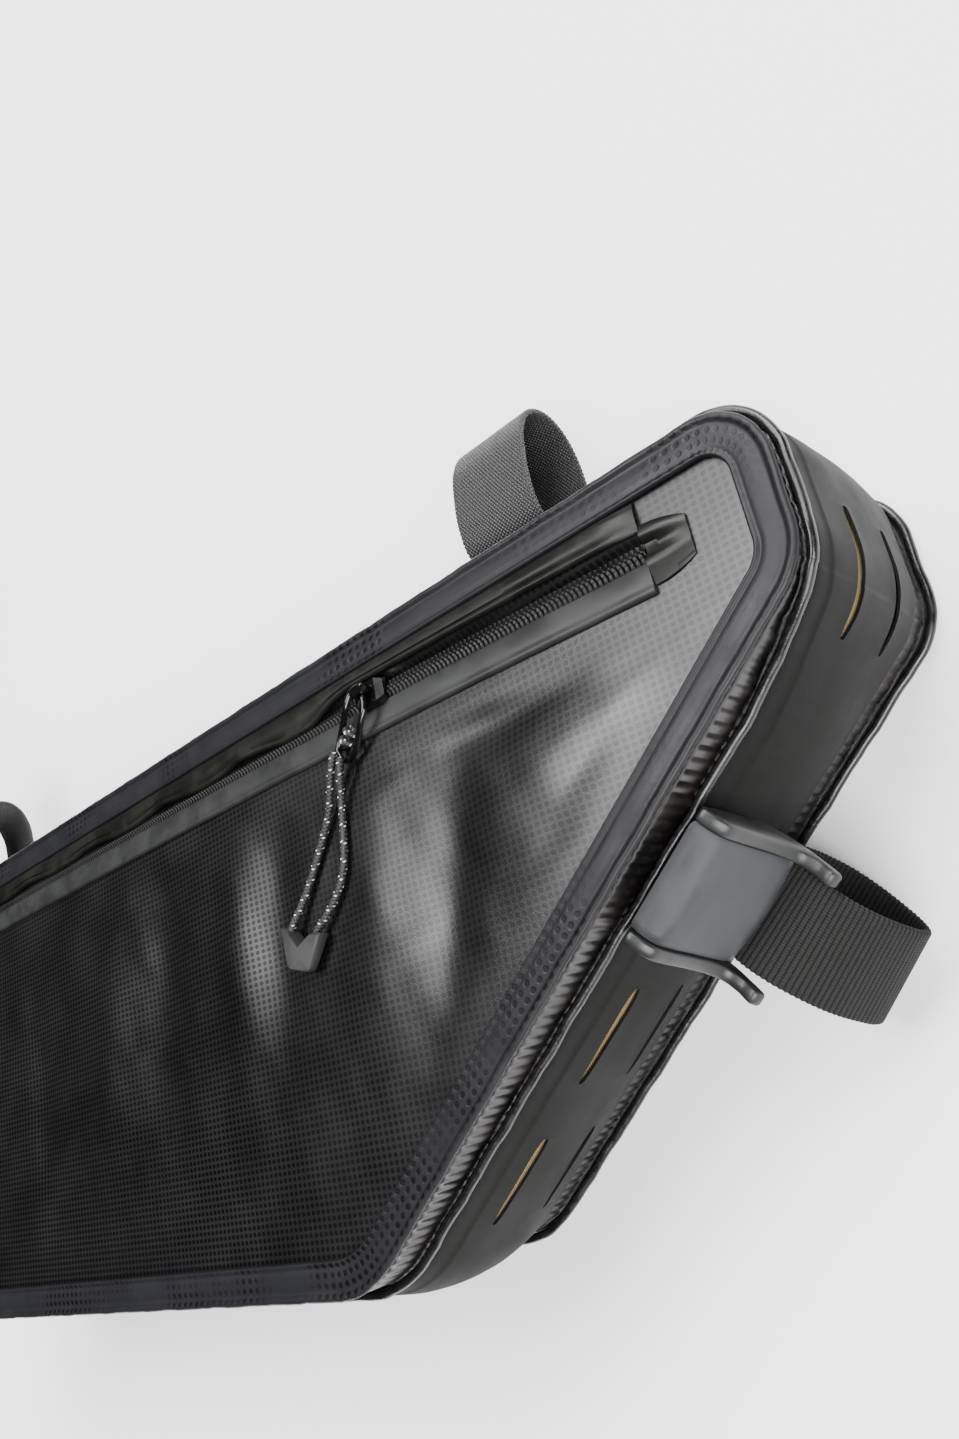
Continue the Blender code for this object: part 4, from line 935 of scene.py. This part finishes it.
def down_loop_rows():
    bar_height, bar_out = in_buckle(*FIXED_BAR)
    wrap = BAR_RADIUS + GAP + WEB_THICK / 2
    rows = []
    for turn in (-30, 0, 45, 90, 135, 180):
        angle = math.radians(turn)
        rows.append((bar_height + wrap * math.sin(angle), bar_out + wrap * math.cos(angle), 0.0))
    rows += [(*in_buckle(*row), 0.0) for row in ANCHOR_ROWS]
    rows += slot_turn(1)[::-1] + slot_turn(-1) + loop_rows(DOWN_LOOP_ROWS, DOWN_LOOP)
    return rows + [(*in_buckle(*row), 0.0) for row in GRIP_ROWS]


def edge_frame(station):
    place, normal = at_station(station)
    along = np.array([normal[0, 1], -normal[0, 0]])
    return place[0], along, normal[0]


def webbing(name, station, rows, closed, look, rib, depth, edge_nub, node):
    """Woven strap along rows of (height, out, twist), with ribs in its mesh."""
    place, along, outward = edge_frame(station)
    total = lengths(curve_points(rows, 16)[:, :2])[-1]
    count = int(round(total / rib)) * 4
    path = even_points(rows, count=count)
    run = lengths(path)
    if closed:
        path, run = path[:-1], run[:-1]
        forward = np.roll(path, -1, axis=0) - np.roll(path, 1, axis=0)
    else:
        forward = np.gradient(path, axis=0)
    forward = forward[:, :2] / np.linalg.norm(forward[:, :2], axis=1)[:, None]
    normal = np.stack([-forward[:, 1], forward[:, 0]], 1)
    phase = np.abs(np.sin(math.pi * run * (count / 4) / total))
    half_wide = WEB_WIDTH / 2 - edge_nub * (1 - phase)
    half_thick = WEB_THICK / 2 - depth * (1 - phase)
    section = []
    for turn in np.linspace(0, math.pi, 7):
        section.append((1, math.sin(turn), math.cos(turn)))
    face = np.linspace(1, -1, 21)[1:-1]
    section += [(share, 0, -1) for share in face]
    for turn in np.linspace(math.pi, 2 * math.pi, 7):
        section.append((-1, math.sin(turn), math.cos(turn)))
    section += [(share, 0, 1) for share in face[::-1]]
    points, v = [], [0.0]
    round_edge = WEB_THICK / 2
    for side, bulge, lift in section:
        across = side * (half_wide - round_edge) + bulge * round_edge
        offset = lift * half_thick
        out = path[:, 1] + offset * normal[:, 1]
        height = path[:, 0] + offset * normal[:, 0] - (across / (WEB_WIDTH / 2)) * path[:, 2]
        spots = place + along * across[:, None] + outward * out[:, None]
        points.append(np.column_stack([spots, height]))
    points = np.array(points)
    v = lengths(points[:, 0])
    wrap = total if closed else None
    verts, faces, uvs = loft(points, run, v, wrap, True)
    faces = faces.tolist()
    uvs = uvs.tolist()
    if not closed:
        cols, size = points.shape[1], points.shape[0]
        faces.append([i * cols for i in range(size)])
        faces.append([i * cols + cols - 1 for i in reversed(range(size))])
        uvs += [(0.0, 0.0)] * (2 * size)
    made = make_mesh(name, verts, faces, look, uvs)
    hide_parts(node)
    return made


def ribbed_web():
    look = Look("ribbed_webbing", (0.012, 0.012, 0.012), 0.7, Specular_IOR_Level=0.12)
    along, across, rest = look.lay()
    strand = look.wave(across, 0.00062)
    rib = look.wave(along, RIB_PITCH)
    shade = look.math("MULTIPLY", look.ease(rib, 0.15, 0.8, 0.25, 1.0),
                      look.ease(strand, 0.0, 0.9, 0.6, 1.0))
    fuzz = look.noise(2600.0, 2.0)
    tone = look.math("MULTIPLY", shade, look.ease(fuzz, 0.3, 0.7, 0.7, 1.2))
    look.set("Base Color", look.mix(tone, (0.0006, 0.0006, 0.0006), (0.018, 0.018, 0.0175)))
    look.raise_by(strand, 0.00012, 0.5)
    look.raise_by(fuzz, 0.00010, 0.5)
    return look.material


def twill_web():
    """Fine diagonal weave with a slight sheen."""
    look = Look("twill_webbing", (0.02, 0.02, 0.021), 0.5, Specular_IOR_Level=0.5)
    along, across, rest = look.lay()
    lean = look.math("ADD", along, look.math("MULTIPLY", across, 0.6))
    tilt = look.math("SUBTRACT", look.math("MULTIPLY", along, 0.6), across)
    grain = look.math("MULTIPLY", look.wave(lean, 0.00085), look.wave(tilt, 0.00085))
    fuzz = look.noise(2400.0, 2.0)
    look.set("Base Color", look.mix(grain, (0.0016, 0.0016, 0.0017), (0.046, 0.046, 0.048)))
    look.raise_by(grain, 0.0003, 0.9)
    look.raise_by(fuzz, 0.00008, 0.4)
    return look.material


RIB_PITCH = 0.00115
RIBBED = ribbed_web()
TWILL = twill_web()
webbing("down_webbing", DOWN_STRAP_PLACE, down_loop_rows(), False, RIBBED, RIB_PITCH,
        0.00016, 0.00028, "down_strap")
webbing("top_webbing_front", top_station(TOP_STRAP_PLACE), top_loop_rows(), True, TWILL, 0.0012,
        0.00004, 0.00022, "top_strap_front")
webbing("top_webbing_rear", top_station(LENGTH - TOP_REAR_PLACE), top_loop_rows(), True, TWILL,
        0.0012, 0.00004, 0.00022, "top_strap_rear")


# Materials of the small pieces

def plain_look(name, colour, roughness, grain=0.00002, scale=900.0, tone=0.35, **sockets):
    """Even colour with fine grain and slight wear, for moulded pieces."""
    look = Look(name, colour, roughness, **sockets)
    wear = look.ease(look.noise(90.0, 4.0), 0.3, 0.7)
    dim = tuple(share * (1.0 - tone) for share in colour)
    look.set("Base Color", look.mix(wear, dim, colour))
    look.set("Roughness", look.ease(wear, 0.0, 1.0, roughness * 0.85, roughness * 1.15))
    look.raise_by(look.noise(scale, 3.0), grain, 0.5)
    return look.material


def cord_look():
    """Black braid with pairs of pale flecks along it."""
    look = Look("braided_cord", (0.012, 0.012, 0.012), 0.55, Specular_IOR_Level=0.4)
    along, around, rest = look.lay()
    lean = look.math("ADD", along, look.math("MULTIPLY", around, 0.5))
    tilt = look.math("SUBTRACT", along, look.math("MULTIPLY", around, 0.5))
    braid = look.math("MULTIPLY", look.wave(lean, 0.0010), look.wave(tilt, 0.0010))
    spot = look.math("ABSOLUTE", look.cell(lean, 0.0040))
    pair = look.math("ABSOLUTE", look.math("SUBTRACT", spot, 0.13))
    band = look.math("ABSOLUTE", look.cell(tilt, 0.0021))
    fleck = look.math("MULTIPLY", look.ease(pair, 0.03, 0.06, 1.0, 0.0),
                      look.ease(band, 0.11, 0.19, 1.0, 0.0))
    dark = look.mix(braid, (0.003, 0.003, 0.003), (0.020, 0.020, 0.020))
    look.set("Base Color", look.mix(fleck, dark, (0.50, 0.50, 0.48)))
    look.raise_by(braid, 0.00012, 0.8)
    return look.material


COIL_LOOK = plain_look("coil_nylon", (0.004, 0.004, 0.004), 0.42,
                       Specular_IOR_Level=0.2)
TAPE_LOOK = plain_look("smooth_tape", (0.014, 0.0143, 0.0147), 0.46, 0.00003, 500.0, 0.3,
                       Specular_IOR_Level=0.4)
FLAP_LOOK = plain_look("flap_film", (0.0065, 0.0065, 0.0052), 0.40, 0.00005, 320.0, 0.5,
                       Specular_IOR_Level=0.25)
GLOSS = plain_look("gloss_black", (0.0025, 0.0025, 0.0028), 0.16, 0.00001, 600.0, 0.2)
CORD_LOOK = cord_look()
TAB_LOOK = plain_look("tab_rubber", (0.020, 0.020, 0.021), 0.62, 0.00004, 1200.0, 0.3)
FRAME_LOOK = plain_look("buckle_frame", (0.0105, 0.011, 0.0115), 0.42, 0.00003, 1500.0, 0.3)
COVER_LOOK = plain_look("buckle_cover", (0.033, 0.035, 0.038), 0.55, 0.00008, 1700.0, 0.45,
                        Specular_IOR_Level=0.35)


# Zip

def sweep_zip(name, start, stop, step, section, look, nodes):
    """Closed section swept along X, with its two ends shut."""
    count = int((stop - start) / step)
    x = np.linspace(start, stop, count + 1)
    rows = section(x)
    points = np.array([np.column_stack([x, np.broadcast_to(y, x.shape),
                                        np.broadcast_to(z, x.shape)]) for y, z in rows])
    v = lengths(points[:, len(x) // 2])
    verts, faces, uvs = loft(points, x - x[0], v, None, True)
    faces, uvs = faces.tolist(), uvs.tolist()
    cols = len(x)
    faces.append([i * cols for i in range(len(rows))])
    faces.append([i * cols + cols - 1 for i in reversed(range(len(rows)))])
    uvs += [(0.0, 0.0)] * (2 * len(rows))
    made = make_mesh(name, verts, faces, look, uvs, sharp=50)
    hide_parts(*nodes)
    return made


COIL_PITCH = 0.0013
COIL_LOW = COIL_TOP - 0.0020


def coil_rows(x):
    """Two rows of rounded teeth that mesh in the middle."""
    middle = zip_line(x)
    rows = []
    for turn in np.linspace(0.0, 2 * math.pi, 21)[:-1]:
        side = 1.0 if math.cos(turn) >= 0 else -1.0
        phase = 2 * math.pi * x / COIL_PITCH + (0.0 if side > 0 else math.pi)
        tooth = 0.5 + 0.5 * np.cos(phase)
        bulge = abs(math.sin(2 * turn)) if math.sin(turn) > 0 else 0.0
        narrow = 0.5 if math.sin(turn) > 0.1 else 0.95
        y = middle + 0.5 * COIL_WIDTH * narrow * math.cos(turn) * (0.93 + 0.07 * tooth)
        top = (COIL_TOP - COIL_LOW) / 2
        z = COIL_LOW + top * (1 + math.sin(turn)) - 0.00042 * (1 - tooth) * (0.4 + bulge)
        rows.append((y, np.maximum(z, COIL_LOW)))
    return rows[::-1]


def tape_rows(x):
    inner = zip_line(x) - COIL_WIDTH / 2 - GAP
    outer = inner - TAPE_WIDTH
    low = PANEL_TOP + GAP
    high = low + TAPE_THICK + 0.00008 * ripple(x, 0.031, 0.4)
    return [(outer, low), (inner, low), (inner, high - 0.0002), (inner - 0.0002, high),
            (outer + 0.35 * TAPE_WIDTH, high - 0.00005), (outer + 0.0016, high - 0.00012),
            (outer + 0.0013, high + 0.00012), (outer + 0.0005, high + 0.00006),
            (outer + 0.0001, high - 0.0003)]


def flap_rows(x):
    """Storm flap: arched, welded at its root, with a rolled and waving lip."""
    root = -BORDER_WIDTH - GAP
    behind = -SLIDER_PLACE - SLIDER_LENGTH / 2 - GAP
    closing = smoothstep(0.0, FLAP_CLOSING, behind - x)
    lip = zip_line(x) + FLAP_OPEN + (FLAP_CLOSED - FLAP_OPEN) * closing
    wave = np.sin(2 * math.pi * x / FLAP_WAVE_LENGTH)
    lip = lip + FLAP_WAVE * closing * wave
    low = PANEL_TOP + GAP + 0.0 * x
    taper = 0.45 + 0.55 * smoothstep(0.0, 0.008, -ZIP_NOSE - x)
    wave = 0.00055 * closing * ripple(x, 0.036, 2.0)
    top = low + FLAP_THICK
    lift = low + 0.75 * FLAP_RISE + wave
    span = lip - root
    under = [(root, low), (root + 0.30 * span, low + 0.8 * FLAP_RISE),
             (root + 0.70 * span, low + FLAP_RISE), (lip + 0.0008, lift - 0.0001)]
    over = [(lip + 0.00015, lift - 0.0002), (lip, lift + 0.0003), (lip + 0.0001, lift + 0.0008),
            (lip + 0.0005, lift + 0.00115), (lip + 0.0010, lift + 0.0011),
            (lip + 0.0015, lift + 0.00085), (root + 0.70 * span, top + FLAP_RISE - 0.0001 + 0.4 * wave),
            (root + 0.50 * span, top + FLAP_RISE + 0.2 * wave),
            (root + 0.30 * span, top + 0.82 * FLAP_RISE), (root + 0.20 * span, top + 0.60 * FLAP_RISE),
            (root + 0.17 * span, top + 0.42 * FLAP_RISE), (root + 0.08 * span, top + 0.30 * FLAP_RISE),
            (root, top - 0.0003)]
    return [(y, low + (z - low) * taper) for y, z in under + over]


sweep_zip("coil_teeth", -LENGTH + ZIP_REAR, -ZIP_NOSE, COIL_PITCH / 6, coil_rows, COIL_LOOK,
          ["zip_coil"])
sweep_zip("lower_tape", -LENGTH + ZIP_REAR, -ZIP_NOSE, 0.002, tape_rows, TAPE_LOOK,
          ["zip_tape"])
sweep_zip("storm_flap", -LENGTH + ZIP_REAR, -ZIP_NOSE, 0.0015, flap_rows, FLAP_LOOK,
          ["zip_flap"])


def end_rows(x):
    """Garage at the zip's nose end: a raised crease over a dark hollow."""
    start = -ZIP_NOSE + GAP
    share = np.clip((x - start) / END_LENGTH, 0.0, 1.0)
    y = zip_line(x)
    low = PANEL_TOP + GAP + 0.0 * x
    half = 0.5 * END_REACH * (1.0 - 0.35 * share ** 2)
    rise = END_RISE * (1.0 - 0.75 * share ** 2)
    hollow = smoothstep(1.0, 0.1, share)
    return [(y - half, low), (y + 0.74 * half, low), (y + 0.75 * half, low + 0.25 * rise),
            (y + 0.66 * half, low + 0.62 * rise), (y + 0.50 * half, low + 0.95 * rise),
            (y + 0.38 * half, low + 1.05 * rise), (y + 0.28 * half, low + 0.85 * rise),
            (y + 0.18 * half, low + rise * (0.60 - 0.35 * hollow)),
            (y - 0.06 * half, low + rise * (0.55 - 0.40 * hollow)),
            (y - 0.22 * half, low + 0.60 * rise), (y - 0.36 * half, low + 0.88 * rise),
            (y - 0.52 * half, low + 0.70 * rise), (y - 0.80 * half, low + 0.32 * rise),
            (y - 0.98 * half, low + 0.16 * rise)]


sweep_zip("zip_garage", -ZIP_NOSE + GAP, -ZIP_NOSE + GAP + END_LENGTH, 0.0004, end_rows, FLAP_LOOK,
          ["zip_end"])


# Slider, wire and cord

def tube(name, path, radius, look, sides=12, closed=False, squash=1.0, knurl=None):
    """Round or flattened tube along points, its UV in metres."""
    path = np.asarray(path, float)
    if closed:
        lead = np.roll(path, -1, axis=0) - np.roll(path, 1, axis=0)
    else:
        lead = np.gradient(path, axis=0)
    lead /= np.linalg.norm(lead, axis=1)[:, None]
    side = np.cross(lead, [0.0, 0.0, 1.0])
    weak = np.linalg.norm(side, axis=1) < 0.2
    side[weak] = np.cross(lead[weak], [1.0, 0.0, 0.0])
    side /= np.linalg.norm(side, axis=1)[:, None]
    up = np.cross(side, lead)
    run = lengths(path)
    turns = np.linspace(0, 2 * math.pi, sides + 1)[:-1]
    points = []
    for turn in turns:
        reach = radius * np.ones(len(path))
        if knurl is not None:
            wind = 2 * math.pi * run / knurl
            braid = np.cos(wind + 3 * turn) + np.cos(wind - 3 * turn)
            reach = reach * (0.965 + 0.0175 * braid)
        points.append(path + side * (reach * math.cos(turn))[:, None]
                      + up * (reach * squash * math.sin(turn))[:, None])
    points = np.array(points)
    v = turns * radius
    wrap = run[-1] + np.linalg.norm(path[0] - path[-1]) if closed else None
    verts, faces, uvs = loft(points, run, v, wrap, True)
    faces, uvs = faces.tolist(), uvs.tolist()
    if not closed:
        cols = len(path)
        faces.append([i * cols for i in range(sides)])
        faces.append([i * cols + cols - 1 for i in reversed(range(sides))])
        uvs += [(0.0, 0.0)] * (2 * sides)
    return make_mesh(name, verts, faces, look, uvs)


def wire_frame():
    start = np.array([-SLIDER_PLACE, zip_line(-SLIDER_PLACE), COIL_TOP + GAP + SLIDER_THICK + WIRE_LIFT])
    along = np.array([math.cos(WIRE_TURN), math.sin(WIRE_TURN), 0.0])
    return start, along, np.array([-along[1], along[0], 0.0])


WireRow = namedtuple("WireRow", "along across drop")
WIRE_LOOP = [
    WireRow(-0.070, -0.42, 0.00), WireRow(0.070, 0.42, 0.00), WireRow(0.170, 0.92, 0.00),
    WireRow(0.320, 1.00, 0.10), WireRow(0.550, 1.00, 0.55), WireRow(0.800, 0.98, 1.00),
    WireRow(0.950, 0.62, 1.00), WireRow(1.000, 0.00, 1.00), WireRow(0.950, -0.62, 1.00),
    WireRow(0.800, -0.98, 1.00), WireRow(0.550, -1.00, 0.55), WireRow(0.320, -1.00, 0.05),
    WireRow(0.060, -1.00, 0.00),
]
WIRE_LOW = PANEL_TOP + GAP + TAPE_THICK + GAP + WIRE_RADIUS
start, along, across = wire_frame()
wire_half = WIRE_WIDTH / 2 - WIRE_RADIUS
rows = []
for row in WIRE_LOOP:
    spot = start + along * row.along * WIRE_LENGTH + across * row.across * wire_half
    spot[2] -= row.drop * (start[2] - WIRE_LOW)
    rows.append(spot)
rows.append(rows[0])
wire = tube("wire_puller", even_points(rows, 0.0005)[:-1], WIRE_RADIUS, GLOSS, 14, True)
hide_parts("puller")

DOWN_LEG = [
    (-0.1205, -0.0269, .0043), (-0.1223, -0.0300, .0043), (-0.1249, -0.0342, .0033),
    (-0.1283, -0.0398, .0020), (-0.1328, -0.0456, .0015), (-0.1372, -0.0512, .0014),
    (-0.1412, -0.0563, .0016), (-0.1445, -0.0603, .0022),
]
TAB_LEG = [
    (-0.1468, -0.0633, .0027), (-0.1471, -0.0643, .0027), (-0.1468, -0.0679, .0027),
    (-0.1440, -0.0703, .0027), (-0.1403, -0.0700, .0027), (-0.1379, -0.0673, .0027),
    (-0.1376, -0.0663, .0027),
]
UP_LEG = [
    (-0.1345, -0.0638, .0024), (-0.1308, -0.0606, .0020), (-0.1273, -0.0567, .0020),
    (-0.1251, -0.0522, .0021), (-0.1243, -0.0470, .0019), (-0.1236, -0.0415, .0019),
    (-0.1220, -0.0365, .0027), (-0.1200, -0.0323, .0040), (-0.1187, -0.0289, .0043),
]
cord_path = even_points(DOWN_LEG + TAB_LEG + UP_LEG, 0.0004)
cord_path[:, 2] += PANEL_TOP
cord = tube("braided_cord", cord_path, CORD_RADIUS, CORD_LOOK, 16, False, 1.0, 0.0021)
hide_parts("pull_cord")

# Two turns of the cord round the wire's lower end stand for its hitch.
centre = start + along * (0.66 * WIRE_LENGTH)
centre[2] = WIRE_LOW + WIRE_RADIUS
eye_half = WIRE_WIDTH / 2 - 2 * WIRE_RADIUS - GAP
for shift, wide in ((-0.0014, 0.92), (0.0010, 0.86)):
    turns = np.linspace(0, 2 * math.pi, 49)[:-1]
    reach = wide * (eye_half - 0.0008)
    ring_path = [centre + along * (shift + 0.0004 * math.sin(t)) + across * (reach * math.cos(t))
                 + np.array([0, 0, 0.0011 * math.sin(t)]) for t in turns]
    tube("hitch_turn", ring_path, 0.0009, CORD_LOOK, 12, True)
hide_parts("cord_hitch")


def pull_tab():
    """Rubber wedge with a notch between the two horns that hold the cord."""
    base = np.array([-0.1422, -0.0648, PANEL_TOP + 0.0027])
    lead = np.array([math.cos(TAB_TURN), math.sin(TAB_TURN), 0.0])
    cross = np.array([-lead[1], lead[0], 0.0])
    widths = np.linspace(-1, 1, 25)
    outline = []
    for share in widths:
        notch = 0.0038 * max(0.0, 1.0 - abs(share) / 0.62)
        outline.append((share * TAB_TOP / 2 * (1 - 0.02 * abs(share)), notch))
    bottom = [(share * TAB_BOTTOM / 2, TAB_LENGTH - 0.0012 * abs(share) ** 6) for share in widths[::-1]]
    outline = np.array(outline + bottom)
    middle = np.array([0.0, TAB_LENGTH * 0.55])
    points = []
    for lift, inset in ((-1.0, 0.10), (-0.75, 0.02), (0.0, 0.0), (0.75, 0.02), (1.0, 0.10)):
        flat = outline + (middle - outline) * inset
        half = (TAB_THICK + (TAB_THIN - TAB_THICK) * flat[:, 1] / TAB_LENGTH) / 2
        edge = 1.0 - 0.25 * np.abs(flat[:, 0] / (TAB_TOP / 2)) ** 2
        spots = base + cross * flat[:, :1] + lead * flat[:, 1:]
        spots[:, 2] += lift * half * edge
        points.append(spots)
    points = np.array(points)
    run = lengths(points[2])
    verts, faces, uvs = loft(points, run, np.arange(5) * 0.001, run[-1] + 0.001)
    size = len(outline)
    faces, uvs = faces.tolist(), uvs.tolist()
    hub = base + lead * 0.0062
    verts = np.vstack([verts, hub + [0, 0, -0.00175], hub + [0, 0, 0.00185]])
    for level, hub, order in ((0, 5 * size, 1), (4, 5 * size + 1, -1)):
        for j in range(size):
            pair = [level * size + j, level * size + (j + 1) % size]
            faces.append([hub] + pair[::-order])
            uvs += [(0.0, 0.0)] * 3
    made = make_mesh("pull_tab", verts, faces, TAB_LOOK, uvs, sharp=40)
    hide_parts("cord_tab")
    return made


tab = pull_tab()


# Buckle

RAIL_ROWS = [
    BuckleRow(.036, .009), BuckleRow(.240, .036), BuckleRow(.507, .100), BuckleRow(.751, .141),
    BuckleRow(.884, .232), BuckleRow(.964, .391), BuckleRow(1.004, .573), BuckleRow(.996, .755),
    BuckleRow(.924, .991), BuckleRow(.853, .945), BuckleRow(.871, .777), BuckleRow(.840, .645),
    BuckleRow(.729, .555), BuckleRow(.484, .455), BuckleRow(.240, .377), BuckleRow(.071, .295),
    BuckleRow(0, .164), BuckleRow(-.009, .036),
]
COVER_ROWS = [
    BuckleRow(.018, .009), BuckleRow(.027, .155), BuckleRow(.089, .273), BuckleRow(.240, .355),
    BuckleRow(.484, .432), BuckleRow(.729, .518), BuckleRow(.907, .559), BuckleRow(.978, .541),
    BuckleRow(.964, .491), BuckleRow(.729, .445), BuckleRow(.484, .359), BuckleRow(.240, .277),
    BuckleRow(.129, .218), BuckleRow(.098, .141), BuckleRow(.089, .009),
]


def prism(name, table, levels, look):
    """Smoothed outline carried along the edge, drawn in at each end.

    levels are rows of (place along the edge, how far the outline is drawn in,
    how far it bulges out).
    """
    place, along_edge, outward = edge_frame(DOWN_STRAP_PLACE)
    flat = np.array([in_buckle(*row) for row in table + table[:1]])
    fine = even_points(flat, 0.0004)[:-1]
    lead = np.roll(fine, -1, axis=0) - np.roll(fine, 1, axis=0)
    lead /= np.linalg.norm(lead, axis=1)[:, None]
    inward = np.column_stack([-lead[:, 1], lead[:, 0]])
    area = np.sum(fine[:, 0] * np.roll(fine[:, 1], -1) - np.roll(fine[:, 0], -1) * fine[:, 1])
    inward *= 1.0 if area > 0 else -1.0
    points = []
    for level, drawn, bulge in levels:
        spots = fine + inward * drawn
        up = smoothstep(0.15, 0.45, (spots[:, 1] - BUCKLE_FOOT) / BUCKLE_RISE)
        out = spots[:, 1] + bulge * up
        xy = place + along_edge * level + outward * out[:, None]
        points.append(np.column_stack([xy, spots[:, 0]]))
    points = np.array(points)
    run = lengths(points[0])
    v = np.array([level for level, drawn, bulge in levels])
    verts, faces, uvs = loft(points, run, v, run[-1] + 0.0004)
    size, last = len(fine), (len(levels) - 1) * len(fine)
    faces, uvs = faces.tolist(), uvs.tolist()
    faces.append([j for j in reversed(range(size))])
    faces.append([last + j for j in range(size)])
    uvs += [(0.0, 0.0)] * (2 * size)
    return make_mesh(name, verts, faces, look, uvs, sharp=45)


inside = BUCKLE_INSIDE / 2
for side in (-1, 1):
    cuts = [(0.0, 0.00045), (0.0002, 0.00018), (0.0005, 0.0), (RAIL_WIDTH - 0.0007, 0.0),
            (RAIL_WIDTH - 0.00025, 0.00022), (RAIL_WIDTH, 0.00060)]
    levels = [(side * (inside + reach), drawn, 0.0) for reach, drawn in cuts]
    prism("buckle_rail", RAIL_ROWS, levels, FRAME_LOOK)
place, along_edge, outward = edge_frame(DOWN_STRAP_PLACE)
for bar in (FIXED_BAR, CAM_BAR):
    height, out = in_buckle(*bar)
    ends = [np.append(place + along_edge * side * (inside + 0.0010) + outward * out, height)
            for side in np.linspace(-1, 1, 9)]
    tube("buckle_bar", ends, BAR_RADIUS, FRAME_LOOK, 14)
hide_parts("buckle_frame")

levels = []
for share in np.linspace(-1, 1, 25):
    rim = max(0.0, abs(share) - 0.93) / 0.07
    levels.append((share * (inside - GAP), 0.00045 * rim ** 2, 0.0009 * (1 - share ** 2)))
cover = prism("cover_shell", COVER_ROWS, levels, COVER_LOOK)
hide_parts("buckle_cover")

# Slider keeps its solid.
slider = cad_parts["slider"]
slider.data.materials.clear()
slider.data.materials.append(GLOSS)
